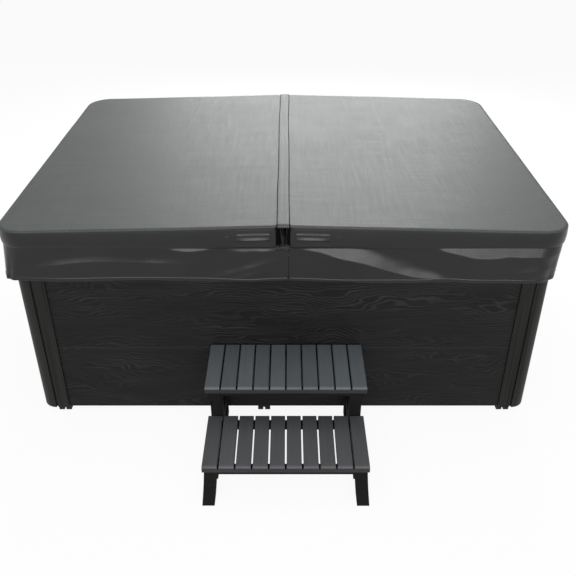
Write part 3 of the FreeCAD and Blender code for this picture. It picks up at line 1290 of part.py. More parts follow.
LOWER_UNDER = LOWER_TREAD_HEIGHT - SLAT_THICKNESS
UPPER_UNDER = UPPER_TREAD_HEIGHT - SLAT_THICKNESS
LEG_OUTER = STEP_WIDTH / 2 - LEG_INSET
LEG_INNER = LEG_OUTER - LEG_THICKNESS
POST_OUTER = STEP_WIDTH / 2 - POST_INSET
POST_INNER = POST_OUTER - LEG_THICKNESS
MID_POST_Y = LOWER_BACK_Y
REAR_LEG_Y = STEP_BACK_Y - MID_POST_DEPTH


def front_leg():
    """A swept leg under the lower tread, whose foot kicks forward and out."""
    foot_z, top_z = PAD_THICKNESS, LOWER_UNDER
    mid_z = (foot_z + top_z) / 2
    top_y = LOWER_FRONT_Y + SLAT_NOSE_RADIUS
    toe_y, waist_y = LOWER_FRONT_Y - FOOT_KICK, top_y + LEG_SWEEP
    splay = LEG_SPLAY / (top_z - foot_z)

    def point(y, z):
        return V(LEG_INNER + splay * (top_z - z), y, z)

    toe, waist, top = point(toe_y, foot_z), point(waist_y, mid_z), point(top_y, top_z)
    deep = V(0, LEG_DEPTH, 0)
    edges = [Part.Arc(toe, waist, top).toShape(), Part.LineSegment(top, top + deep).toShape()]
    edges.append(Part.Arc(top + deep, waist + deep, toe + deep).toShape())
    edges.append(Part.LineSegment(toe + deep, toe).toShape())
    return Part.Face(Part.Wire(edges)).extrude(V(LEG_THICKNESS, 0, 0))


def step_frame(side):
    """One side: a front leg, a middle post and a rear leg, tied by a bearer under each tread."""
    inner, outer = POST_INNER, POST_OUTER
    post_back = MID_POST_Y + MID_POST_DEPTH
    bearer_front = LOWER_FRONT_Y + SLAT_NOSE_RADIUS
    low, high = LOWER_UNDER - BEARER_HEIGHT, UPPER_UNDER - BEARER_HEIGHT
    leg = front_leg()
    front_bearer = block(inner, outer, bearer_front, MID_POST_Y, low, LOWER_UNDER)
    pieces = [leg, max(front_bearer.cut(leg).Solids, key=lambda solid: solid.Volume)]
    pieces.append(block(inner, outer, MID_POST_Y, post_back, PAD_THICKNESS, UPPER_UNDER))
    pieces.append(block(inner, outer, REAR_LEG_Y, STEP_BACK_Y, PAD_THICKNESS, UPPER_UNDER))
    pieces.append(block(inner, outer, post_back, REAR_LEG_Y, low, LOWER_UNDER))
    pieces.append(block(inner, outer, post_back, REAR_LEG_Y, high, UPPER_UNDER))
    pieces.append(block(inner, outer, UPPER_FRONT_Y + SLAT_NOSE_RADIUS, MID_POST_Y, high, UPPER_UNDER))
    return [placed_step(p, side) for p in pieces]


def placed_step(shape, side):
    made = shape if side > 0 else mirrored_x(shape)
    made.translate(V(STEP_OFFSET_X, 0, 0))
    return made


def cross_rails():
    """Rails between the side frames under the front and the back of each tread."""
    fronts = [(LOWER_FRONT_Y + SLAT_NOSE_RADIUS, LOWER_UNDER), (MID_POST_Y - CROSS_RAIL_DEPTH, LOWER_UNDER)]
    fronts += [(UPPER_FRONT_Y + SLAT_NOSE_RADIUS, UPPER_UNDER), (REAR_LEG_Y, UPPER_UNDER)]
    rails = []
    for y, under in fronts:
        rail = block(-POST_INNER, POST_INNER, y, y + CROSS_RAIL_DEPTH, under - CROSS_RAIL_HEIGHT, under)
        rails.append(placed_step(rail, 1))
    return rails


def foot_pads():
    """Rubber pads under the six legs."""
    legs = [(LEG_INNER + LEG_SPLAY, LOWER_FRONT_Y - FOOT_KICK, LEG_DEPTH)]
    legs += [(POST_INNER, MID_POST_Y, MID_POST_DEPTH), (POST_INNER, REAR_LEG_Y, MID_POST_DEPTH)]
    pads = []
    for x, y, deep in legs:
        x0, x1 = x + PAD_INSET, x + LEG_THICKNESS - PAD_INSET
        pad = block(x0, x1, y + PAD_INSET, y + deep - PAD_INSET, 0, PAD_THICKNESS)
        pads += [placed_step(pad.copy(), 1), placed_step(pad.copy(), -1)]
    return pads


def nodes():
    """Every named piece with its solids."""
    made = {
        "shell": [shell()],
        "base_pan": [base_pan()],
        "base_feet": base_feet(),
        "timber_frame": frame_rails() + frame_studs(),
        "insulation_boards": insulation_boards(),
        "well_support": [well_support()],
        "front_panel": drilled(wall_boards(FRONT_SPAN, FRONT_FACE, 0)),
        "back_panel": drilled(wall_boards(FRONT_SPAN, FRONT_FACE, 180)),
        "left_panel": drilled(wall_boards(SIDE_SPAN, SIDE_FACE, 270)),
        "right_panel": drilled(wall_boards(SIDE_SPAN, SIDE_FACE, 90)),
        "corner_posts": four_corners(corner_post()),
        "panel_screws": panel_screws(),
        "jet_bodies": jet_bodies(),
        "jet_faces": small_jet_faces(),
        "well_grilles": [suction_cover(), floor_drain()],
        "light_lens": [light_lens()],
        "headrests": headrests(),
        "topside_panel": [topside_panel()],
        "valve_bodies": valve_bodies(),
        "diverter_knob": [knob(0)],
        "air_knob_front": [knob(1)],
        "air_knob_back": [knob(2)],
        "filter_cartridge": [filter_cartridge()],
        "filter_lid": [filter_lid()],
        "weir_door": [weir_door()],
        "pump_wet_end": [pump_wet_end()],
        "pump_motor": [pump_motor()],
        "pump_rotor": [pump_rotor()],
        "pipes": [suction_pipe(), pressure_pipe()],
        "heater": [heater()],
        "manifold": [manifold()],
        "control_box": control_box(),
        "cover_heat_seal": [heat_seal()],
        "cover_hinge_strip": [hinge_strip()],
        "step_upper_slats": slats(UPPER_FRONT_Y, UPPER_TREAD_HEIGHT),
        "step_lower_slats": slats(LOWER_FRONT_Y, LOWER_TREAD_HEIGHT),
        "step_left_frame": step_frame(-1),
        "step_right_frame": step_frame(1),
        "step_cross_rails": cross_rails(),
        "step_foot_pads": foot_pads(),
    }
    for i in range(len(rotary_jets())):
        made[f"rotary_jet_{i + 1}"] = [rotary_jet_face(i)]
    for i, y in enumerate(button_places()):
        made[f"button_{i + 1}"] = [button(y)]
    halves = {"core": [cover_core()], "channel": [channel_section(0)], "jacket": [cover_jacket()]}
    halves["handles"] = cover_handles()
    for name, solids in halves.items():
        made["cover_right_" + name] = solids
        made["cover_left_" + name] = [mirrored_x(s) for s in solids]
    half_gap = SKIRT_SEAM_GAP / 2
    right = cover_skirt(SKIRT_SEAM_X + half_gap, SKIRT_RIGHT_FLARE, SKIRT_RIGHT_TUCK)
    left = cover_skirt(half_gap - SKIRT_SEAM_X, SKIRT_LEFT_FLARE, SKIRT_LEFT_TUCK)
    made["cover_right_skirt"] = [right]
    made["cover_left_skirt"] = [mirrored_x(left)]
    return made


os.makedirs("parts", exist_ok=True)
for name, solids in nodes().items():
    whole = solids[0] if len(solids) == 1 else Part.makeCompound(solids)
    whole.exportStep(f"parts/{name}.step")
    print(name, len(whole.Solids), round(whole.Volume / 1000), "cm3", whole.isValid())
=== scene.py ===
import bmesh
import bpy
import json
import math
import random
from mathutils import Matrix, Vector, noise

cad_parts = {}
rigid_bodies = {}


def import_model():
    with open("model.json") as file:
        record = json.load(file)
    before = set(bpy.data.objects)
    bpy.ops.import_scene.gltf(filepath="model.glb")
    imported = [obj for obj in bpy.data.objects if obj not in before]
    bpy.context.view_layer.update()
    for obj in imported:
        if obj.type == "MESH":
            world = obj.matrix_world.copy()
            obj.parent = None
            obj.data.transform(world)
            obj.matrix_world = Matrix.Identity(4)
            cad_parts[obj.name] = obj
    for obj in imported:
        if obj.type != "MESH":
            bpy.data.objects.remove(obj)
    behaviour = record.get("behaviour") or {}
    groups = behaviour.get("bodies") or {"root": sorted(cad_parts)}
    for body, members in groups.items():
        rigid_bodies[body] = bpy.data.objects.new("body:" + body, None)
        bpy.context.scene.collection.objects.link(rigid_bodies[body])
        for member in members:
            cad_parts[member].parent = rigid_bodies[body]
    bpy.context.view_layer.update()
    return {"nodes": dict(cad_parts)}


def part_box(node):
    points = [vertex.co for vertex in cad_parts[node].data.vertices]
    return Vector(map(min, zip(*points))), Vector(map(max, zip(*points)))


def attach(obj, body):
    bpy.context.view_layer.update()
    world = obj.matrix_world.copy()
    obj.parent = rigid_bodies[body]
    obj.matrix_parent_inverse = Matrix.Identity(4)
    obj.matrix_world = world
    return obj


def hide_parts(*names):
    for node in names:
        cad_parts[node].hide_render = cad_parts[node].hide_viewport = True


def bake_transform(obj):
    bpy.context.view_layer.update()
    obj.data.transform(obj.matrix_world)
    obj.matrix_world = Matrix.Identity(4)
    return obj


for default_object in list(bpy.data.objects):
    bpy.data.objects.remove(default_object)
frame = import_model()


# Base pan and feet.
# A vacuum-formed black tray under the whole tub. The frame stands in it, and two-toed feet of the
# same plastic are moulded out of its front and back edges.

class Wire:
    """A shader socket that takes part in Python sums: each operator adds one Math node."""

    def __init__(self, tree, socket):
        self.tree = tree
        self.socket = socket

    def node(self, kind, settings, sockets, output=0):
        """Adds one shader node: its settings first, then the values or links of its sockets."""
        made = self.tree.nodes.new("ShaderNode" + kind)
        for setting, value in settings.items():
            setattr(made, setting, value)
        for key, value in sockets.items():
            if isinstance(value, Wire):
                self.tree.links.new(value.socket, made.inputs[key])
            else:
                made.inputs[key].default_value = value
        return Wire(self.tree, made.outputs[output])

    def maths(self, operation, *values):
        return self.node("Math", {"operation": operation}, dict(enumerate(values)))

    def __add__(self, other):
        return self.maths("ADD", self, other)

    def __sub__(self, other):
        return self.maths("SUBTRACT", self, other)

    def __rsub__(self, other):
        return self.maths("SUBTRACT", other, self)

    def __mul__(self, other):
        return self.maths("MULTIPLY", self, other)

    def __truediv__(self, other):
        return self.maths("DIVIDE", self, other)

    def __pow__(self, other):
        return self.maths("POWER", self, other)

    __radd__ = __add__
    __rmul__ = __mul__


def srgb(red, green, blue):
    """A colour as it looks on a screen, 0 to 255, as the linear colour that shaders take."""
    linear = []
    for channel in (red, green, blue):
        share = channel / 255
        linear.append(share / 12.92 if share <= 0.04045 else ((share + 0.055) / 1.055) ** 2.4)
    return (*linear, 1)


def new_finish(name, **constants):
    """A material whose shader holds the constants, and the place on the piece as a wire."""
    material = bpy.data.materials.new(name)
    material.use_nodes = True
    tree = material.node_tree
    shader = tree.nodes["Principled BSDF"]
    for socket, value in constants.items():
        shader.inputs[socket.replace("_", " ")].default_value = value
    return material, Wire(tree, tree.nodes.new("ShaderNodeTexCoord").outputs["Object"])


def lay_on(material, colour, roughness, relief, depth):
    """Feeds a material's colour and gloss, and a relief from 0 to 1 of that depth in metres."""
    tree = material.node_tree
    shader = tree.nodes["Principled BSDF"]
    bump = relief.node("Bump", {}, {"Height": relief, "Distance": depth, "Strength": 1.0})
    tree.links.new(colour.socket, shader.inputs["Base Color"])
    tree.links.new(roughness.socket, shader.inputs["Roughness"])
    tree.links.new(bump.socket, shader.inputs["Normal"])
    return material


def tint(share, low, high):
    """A colour between two, by a share from 0 to 1."""
    return share.node("Mix", {"data_type": "RGBA"}, {0: share, 6: low, 7: high}, 2)


def stretched(place, x, y, z):
    return place.node("VectorMath", {"operation": "MULTIPLY"}, {0: place, 1: (x, y, z)})


def cloud(place, scale, detail=3.0):
    """Soft noise from 0 to 1, with that many blots to the metre."""
    return place.node("TexNoise", {}, {"Vector": place, "Scale": scale, "Detail": detail})


def cells(place, scale):
    """Distance to the nearest of scattered points, about 0 to 1, with that many to the metre."""
    return place.node("TexVoronoi", {}, {"Vector": place, "Scale": scale})


def moulded(name, dark, light, gloss, grain, depth, **constants):
    """Moulded plastic: two near tones, an uneven gloss and a fine spark-eroded grain."""
    material, place = new_finish(name, **constants)
    blots = cloud(place, 7)
    colour = tint(blots, srgb(*dark), srgb(*light))
    roughness = gloss + 0.16 * (blots - 0.5)
    return lay_on(material, colour, roughness, cloud(place, 1 / grain, 2), depth)


def dress(material, *nodes):
    """Gives CAD nodes that keep their shape a finish."""
    for node in nodes:
        slots = frame["nodes"][node].data.materials
        slots.clear()
        slots.append(material)


tray_plastic = moulded("tray_plastic", (20, 20, 21), (28, 28, 29), 0.62, 0.0012, 0.0003,
                       Specular_IOR_Level=0.2)
dress(tray_plastic, "base_pan", "base_feet")


# Timber frame, insulation boards and the block under the foot well.
# The frame is planed softwood, screwed together. The boards are cut from bead foam and pushed in
# behind the frame, and a block of the same foam carries the foot well.

def planed_pine():
    material, place = new_finish("planed_pine", Specular_IOR_Level=0.3)
    fibre = cloud(stretched(place, 60, 60, 6), 3, 4)
    blots = cloud(place, 5)
    clean = tint(fibre, srgb(156, 120, 78), srgb(205, 172, 124))
    colour = tint(blots * 0.35, clean, srgb(140, 104, 66))
    return lay_on(material, colour, 0.55 + 0.2 * fibre, fibre, 0.0006)


def bead_foam():
    material, place = new_finish("bead_foam", Specular_IOR_Level=0.2)
    beads = cells(place, 240)
    colour = tint(beads, srgb(236, 236, 230), srgb(205, 206, 202))
    return lay_on(material, colour, 0.8 + 0.1 * beads, 1 - beads, 0.0012)


foam = bead_foam()
dress(planed_pine(), "timber_frame")
dress(foam, "insulation_boards", "well_support")


# Pump, heater, pipes and control box.
# A cast motor with a moulded wet end stands on the base. White pipe carries the water through a
# stainless heater to the manifold, and a painted steel box holds the electrics.

def patterned(material, pattern, dark, light, gloss, spread, depth):
    """Lays one pattern on a material: it turns the colour, dulls the gloss and stands in relief."""
    colour = tint(pattern, srgb(*dark), srgb(*light))
    return lay_on(material, colour, gloss + spread * pattern, pattern, depth)


def brushed_steel():
    material, place = new_finish("brushed_steel", Metallic=1.0)
    lines = cloud(stretched(place, 700, 700, 30), 1, 2)
    return patterned(material, lines, (168, 170, 172), (205, 207, 209), 0.22, 0.2, 0.0001)


white_pipe = moulded("white_pipe", (214, 215, 212), (230, 231, 229), 0.35, 0.004, 0.0001)
motor_paint = moulded("motor_paint", (48, 52, 56), (62, 66, 70), 0.5, 0.002, 0.0004)
steel = brushed_steel()
dress(white_pipe, "pipes", "manifold", "pump_wet_end", "valve_bodies", "jet_bodies")
dress(motor_paint, "pump_motor", "control_box")
dress(steel, "heater", "pump_rotor")


# Acrylic shell.
# One cast acrylic sheet, drawn hot into a mould: lip, shelf, seats, foot well and filter tower.
# Its pearl pigment lies in faint clouds under a polished face.

def pearl_acrylic():
    material, place = new_finish("pearl_acrylic", Coat_Weight=0.4, Coat_Roughness=0.06)
    swirl = cloud(place, 3.5, 5)
    mica = cells(place, 420)
    pearl = tint(swirl, srgb(186, 192, 196), srgb(222, 226, 228))
    colour = tint(mica * 0.25, pearl, srgb(240, 243, 245))
    return lay_on(material, colour, 0.16 + 0.1 * swirl, swirl, 0.0004)


dress(pearl_acrylic(), "shell")


# Jets, gratings and the lens of the water light.
# Grey moulded jet faces press into white bodies behind the shell. The gratings are the same grey
# plastic, and the lens is a clear moulding with fine rings.

LENS_RING_PITCH = 0.004


def stripes(place, pitch):
    """Even waves from 0 to 1 along a length, a pitch apart."""
    return 0.5 + 0.5 * place.maths("SINE", place * (2 * math.pi / pitch))


def ribbed_lens():
    low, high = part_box("light_lens")
    centre = (low + high) / 2
    material, place = new_finish("ribbed_lens", Transmission_Weight=0.55, IOR=1.49)
    out = place.node("VectorMath", {"operation": "DISTANCE"}, {0: place, 1: tuple(centre)}, 1)
    rings = stripes(out, LENS_RING_PITCH)
    return patterned(material, rings, (205, 222, 230), (232, 242, 246), 0.08, 0.1, 0.0006)


jet_plastic = moulded("jet_plastic", (74, 77, 80), (92, 95, 98), 0.3, 0.0015, 0.0001, Coat_Weight=0.2)
dress(jet_plastic, "jet_faces", "well_grilles", *[f"rotary_jet_{i}" for i in range(1, 5)])
dress(ribbed_lens(), "light_lens")


# Headrests.
# Four skinned foam pillows pressed on to the end walls above the seats, each with two rolled
# channels along it. The foam fills the skin tightly, so the faces stand out between the channels.

PILLOW_VOXEL = 0.005
PILLOW_PRESSURE = 4.0
PILLOW_FRAMES = 20
PILLOW_SWELL = 0.005
PILLOW_START_INSET = 0.003
CHANNEL_SPREAD = 0.016
CHANNEL_WIDTH = 0.005
CHANNEL_DEPTH = 0.0035


def new_object(name, mesh):
    made = bpy.data.objects.new(name, mesh)
    bpy.context.scene.collection.objects.link(made)
    return made


def merged_copy(node):
    """A CAD node's points and whole flat faces, with the loose triangles joined up."""
    work = bmesh.new()
    work.from_mesh(frame["nodes"][node].data)
    bmesh.ops.remove_doubles(work, verts=work.verts, dist=1e-6)
    bmesh.ops.dissolve_limit(work, angle_limit=math.radians(1), verts=work.verts, edges=work.edges)
    work.verts.index_update()
    points = [v.co.copy() for v in work.verts]
    faces = [[v.index for v in face.verts] for face in work.faces]
    work.free()
    mesh = bpy.data.meshes.new(node + "_merged")
    mesh.from_pydata(points, [], faces)
    return mesh


def evaluated_mesh(thing):
    return bpy.data.meshes.new_from_object(thing.evaluated_get(bpy.context.evaluated_depsgraph_get()))


def swollen(pillow):
    """Runs a short cloth simulation under pressure and keeps each point near where it began."""
    rest = [v.co.copy() for v in pillow.data.vertices]
    cloth = pillow.modifiers.new("skin", "CLOTH")
    cloth.settings.use_pressure = True
    cloth.settings.uniform_pressure_force = PILLOW_PRESSURE
    cloth.settings.effector_weights.gravity = 0
    cloth.point_cache.frame_end = PILLOW_FRAMES
    for step in range(1, PILLOW_FRAMES + 1):
        bpy.context.scene.frame_set(step)
    swelled = pillow.evaluated_get(bpy.context.evaluated_depsgraph_get())
    moved = [v.co.copy() for v in swelled.data.vertices]
    pillow.modifiers.remove(cloth)
    bpy.context.scene.frame_set(1)
    for vertex, start, end in zip(pillow.data.vertices, rest, moved):
        move = end - start
        vertex.co = start + move * min(1, PILLOW_SWELL / max(move.length, 1e-9))


def headrest_skin():
    material, place = new_finish("headrest_skin", Specular_IOR_Level=0.35)
    pebbles = cells(place, 520)
    blots = cloud(place, 14)
    colour = tint(blots, srgb(52, 54, 57), srgb(66, 68, 71))
    return lay_on(material, colour, 0.5 + 0.18 * pebbles, pebbles, 0.0004)


low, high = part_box("headrests")
pillow_middle = (low.z + high.z) / 2
pillows = new_object("headrest_pillows", merged_copy("headrests"))
for vertex in pillows.data.vertices:
    vertex.co.x -= math.copysign(PILLOW_START_INSET, vertex.co.x)
remesh = pillows.modifiers.new("even faces", "REMESH")
remesh.voxel_size = PILLOW_VOXEL
pillows.data = evaluated_mesh(pillows)
pillows.modifiers.clear()
swollen(pillows)
pillows.data.update()
for vertex in pillows.data.vertices:
    for side in (-1, 1):
        away = (vertex.co.z - pillow_middle - side * CHANNEL_SPREAD) / CHANNEL_WIDTH
        vertex.co -= vertex.normal * CHANNEL_DEPTH * math.exp(-away * away)
pillows.data.shade_smooth()
pillows.data.materials.append(headrest_skin())
rounding = pillows.modifiers.new("rounding", "SUBSURF")
rounding.levels = 1
rounding.render_levels = 1
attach(pillows, "tub")
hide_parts("headrests")


# Controls on the shelf.
# A satin black plate with four rubber keys round a bare screen, and three lobed knobs on the other
# side that turn the water and air valves.

panel_face = moulded("panel_face", (18, 19, 20), (26, 27, 28), 0.28, 0.003, 0.0001)
key_rubber = moulded("key_rubber", (92, 95, 97), (108, 110, 112), 0.6, 0.0008, 0.0002)
knob_plastic = moulded("knob_plastic", (80, 83, 86), (98, 101, 104), 0.36, 0.001, 0.00015)
dress(panel_face, "topside_panel")
dress(key_rubber, *[f"button_{i}" for i in range(1, 5)])
dress(knob_plastic, "diverter_knob", "air_knob_front", "air_knob_back")


# Filter in its tower.
# A cartridge of pleated spun polyester stands in the bore, with a floating weir door in the mouth
# and a lift-off lid, both moulded in grey.

def pleated_paper():
    material, place = new_finish("pleated_paper", Specular_IOR_Level=0.15)
    fibre = cloud(stretched(place, 1, 1, 0.25), 380, 4)
    blots = cloud(place, 16)
    colour = tint(blots, srgb(214, 220, 226), srgb(236, 239, 241))
    return lay_on(material, colour, 0.85 + 0.1 * fibre, fibre, 0.0005)


dress(pleated_paper(), "filter_cartridge")
dress(knob_plastic, "filter_lid", "weir_door")


# Cabinet boards.
# Three tongued and grooved boards to a wall, moulded in black composite. A figure of wavy rings and
# fine fibres is embossed in the face, and a paler band along the top of each board is a painted
# highlight, for the lit lower flank of the groove above it.

BOARD_PITCH = 0.316
BOARD_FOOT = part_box("front_panel")[0].z
RING_SPACING = 0.0115
GROOVE_HIGHLIGHT_HEIGHT = 0.016
BOARD_SHIFT = 7.3


def embossed_board():
    material, place = new_finish("embossed_board", Specular_IOR_Level=0.12)
    split = place.node("SeparateXYZ", {}, {0: place})
    across_x, across_y, up = [Wire(split.tree, s) for s in split.socket.node.outputs]
    rise = (up - BOARD_FOOT) / BOARD_PITCH
    row = up.maths("FLOOR", rise)
    # Painted highlight: a paler band just under each board seam stands in for the lit lower flank of the
    # groove.
    painted_groove_highlight = up.maths("MAXIMUM", 0.0, 1 - (row + 1 - rise) * (BOARD_PITCH / GROOVE_HIGHLIGHT_HEIGHT))
    spot = up.node("CombineXYZ", {}, {0: across_x + across_y, 1: up, 2: row * BOARD_SHIFT})
    swirl = cloud(stretched(spot, 2.4, 7, 1), 1, 2)
    waver = cloud(stretched(spot, 11, 34, 1), 1, 3)
    ring = up / RING_SPACING + 19 * swirl + 1.8 * waver
    wave = stripes(ring, 1)
    shown = cloud(stretched(spot, 3, 13, 1), 1, 3)
    late_wood = 7 * shown ** 3 * wave ** 3
    fibre = cloud(stretched(spot, 7, 240, 1), 1, 4)
    patch = cloud(stretched(spot, 2, 6, 1), 1, 2)
    grain = 0.45 * late_wood + 0.9 * (fibre - 0.25)
    colour = tint(grain + 0.42 * painted_groove_highlight, srgb(10, 10, 11), srgb(34, 34, 34))
    relief = 0.5 * late_wood + 0.5 * fibre
    return lay_on(material, colour, 0.42 + 0.14 * fibre + 0.16 * patch, relief, 0.0009)


dress(embossed_board(), "front_panel", "back_panel", "left_panel", "right_panel")


# Corner posts.
# Black extrusions that cap the board ends: a round nose, a groove and a flat strip on each face,
# brushed along their length so that they look like planed uprights.

def brushed_post():
    material, place = new_finish("brushed_post", Specular_IOR_Level=0.15)
    fibre = cloud(stretched(place, 260, 260, 5), 1, 4)
    streak = cloud(stretched(place, 75, 75, 1.5), 1, 2)
    colour = tint(0.5 * fibre + 1.6 * (streak - 0.4), srgb(10, 10, 9), srgb(36, 35, 32))
    return lay_on(material, colour, 0.4 + 0.2 * streak, 0.6 * fibre + 0.4 * streak, 0.0009)


dress(brushed_post(), "corner_posts")


# Panel screws.
# Pan-head stainless screws, blackened, that hold the top board of each wall to the rail behind.

def black_steel():
    material, place = new_finish("black_steel", Metallic=0.8)
    scuff = cloud(place, 600, 2)
    return patterned(material, scuff, (36, 36, 38), (58, 58, 60), 0.4, 0.2, 0.0001)


dress(black_steel(), "panel_screws")


# Foam cores, steel channels and the heat seal of the cover.
# Each half is a tapered slab of bead foam with a galvanised channel folded over its hinge edge.
# Its hinge corners are cut back, and soft foam on the right half closes the gap under the hinge.

def spangled_zinc():
    material, place = new_finish("spangled_zinc", Metallic=1.0)
    crystals = cells(place, 90)
    return patterned(material, crystals, (150, 154, 158), (190, 193, 196), 0.3, 0.2, 0.0002)


seal_foam = moulded("seal_foam", (22, 22, 22), (30, 30, 30), 0.85, 0.002, 0.0006, Specular_IOR_Level=0.15)
CORE_CORNER_RUN = 0.040
CORE_CORNER_CUT = 0.027
HALVES = {"right": 1, "left": -1}
core_low, core_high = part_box("cover_right_core")
for side in HALVES:
    core = new_object(f"cover_{side}_core_cut", merged_copy(f"cover_{side}_core"))
    for vertex in core.data.vertices:
        if abs(vertex.co.x) < core_low.x + CORE_CORNER_RUN:
            reach = min(abs(vertex.co.y), core_high.y - CORE_CORNER_CUT)
            vertex.co.y = math.copysign(reach, vertex.co.y)
    core.data.materials.append(foam)
    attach(core, f"cover_{side}")
    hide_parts(f"cover_{side}_core")
dress(spangled_zinc(), "cover_right_channel", "cover_left_channel")
dress(seal_foam, "cover_heat_seal")


# Cover jackets.
# Linen-embossed vinyl sewn round each foam half: a top panel, and a plain band round its sides
# that is turned in and topstitched to the top along a raised seam.

jacket_low, jacket_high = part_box("cover_right_jacket")
EDGE_FALL = 0.026
TOP_ROUNDING = 0.013
UNDER_ROUNDING = 0.006
OUTER_CORNER = 0.105
HINGE_CORNER = 0.040
CORNER_STEPS = 6
STRAIGHT_STEPS = (56, 88)
SEAM_ANGLE = 58.0
SEAM_HALF_ANGLE = 13.0
SEAM_RAISE = 0.0018
TOP_PANEL_STEPS = 6
BAND_RINGS = 6
BAND_SWELL = 0.0012
BAND_WAVE = 0.0016
BAND_WAVE_PITCH = 0.12
TOP_WAVE = 0.0016
TOP_WAVE_PITCH = 0.34
TOP_RIPPLE = 0.0004
TOP_RIPPLE_PITCH = 0.09
LEAST_BEND = 0.0005
THREAD_PITCH = 0.0026
JACKET_SEEDS = {"right": 3.7, "left": 8.8}


def cover_top(x):
    """Height of the cover's top, which falls from the hinge to the ends so that rain runs off."""
    return jacket_high.z - EDGE_FALL * abs(x) / jacket_high.x


def outline(inset):
    """The right half's plan as four sides of points: front, end, back and hinge, drawn in by the inset."""
    corners = []
    for x, y, radius, inward in ((jacket_low.x, jacket_low.y, HINGE_CORNER, 1),
                                 (jacket_high.x, jacket_low.y, OUTER_CORNER, -1),
                                 (jacket_high.x, jacket_high.y, OUTER_CORNER, -1),
                                 (jacket_low.x, jacket_high.y, HINGE_CORNER, 1)):
        bend = max(radius, inset + LEAST_BEND)
        corners.append((Vector((x + inward * bend, y - math.copysign(bend, y))), bend - inset))
    sides = []
    for k in range(4):
        points = []
        for which, first in ((k, 225 + 90 * k), ((k + 1) % 4, 270 + 90 * k)):
            centre, radius = corners[which]
            for step in range(CORNER_STEPS + 1):
                angle = math.radians(first + 45 * step / CORNER_STEPS)
                points.append(centre + radius * Vector((math.cos(angle), math.sin(angle))))
        start, end = points[CORNER_STEPS], points[CORNER_STEPS + 1]
        count = STRAIGHT_STEPS[k % 2]
        between = [start.lerp(end, i / count) for i in range(1, count)]
        sides.append(points[:CORNER_STEPS + 1] + between + points[CORNER_STEPS + 1:])
    return sides


def panel_points(sides):
    """Rows of plan points that fill an outline, blended from its four sides."""
    front, end, back, hinge = sides[0], sides[1], sides[2][::-1], sides[3][::-1]
    rows = []
    for j in range(len(end)):
        v = j / (len(end) - 1)
        row = []
        for i in range(len(front)):
            u = i / (len(front) - 1)
            straight = front[i].lerp(back[i], v) + hinge[j].lerp(end[j], u)
            row.append(straight - front[0].lerp(front[-1], u).lerp(back[0].lerp(back[-1], u), v))
        rows.append(row)
    return rows


def edge_profile():
    """(inset, drop) steps over the top edge, with the raised seam between top panel and band."""
    angles = [15, 30, 40, 45, 49, 53, 58, 63, 67, 71, 76, 90]
    steps = []
    for angle in angles:
        away = (angle - SEAM_ANGLE) / SEAM_HALF_ANGLE
        raised = SEAM_RAISE * max(0, 1 - away * away)
        a = math.radians(angle)
        steps.append((TOP_ROUNDING - (TOP_ROUNDING + raised) * math.sin(a),
                      TOP_ROUNDING - (TOP_ROUNDING + raised) * math.cos(a)))
    return steps


def wobble(x, y, z, pitch, size):
    """A soft unevenness of that size, from a fixed noise with bumps about a pitch apart."""
    return size * noise.noise(Vector((x / pitch, y / pitch, z / pitch)))


def top_height(p, seed):
    """Height of a half's top panel over a plan point, a little uneven on its foam."""
    wave = wobble(p.x, p.y, seed, TOP_WAVE_PITCH, TOP_WAVE)
    return cover_top(p.x) + wave + wobble(p.x, p.y, seed, TOP_RIPPLE_PITCH, TOP_RIPPLE)


def smooth_mesh(name, points, faces, kinds=None):
    """A smooth-shaded mesh, with each face's material number where it has two materials."""
    mesh = bpy.data.meshes.new(name)
    mesh.from_pydata(points, [], faces)
    if kinds:
        mesh.polygons.foreach_set("material_index", kinds)
    mesh.shade_smooth()
    return mesh


def half_mesh(name, side, points, faces, kinds=None):
    """The mesh of one half's piece from the points of the right one, which are mirrored for the left."""
    if side == "left":
        points = [Vector((-p.x, p.y, p.z)) for p in points]
        faces = [face[::-1] for face in faces]
    return smooth_mesh(name, points, faces, kinds)


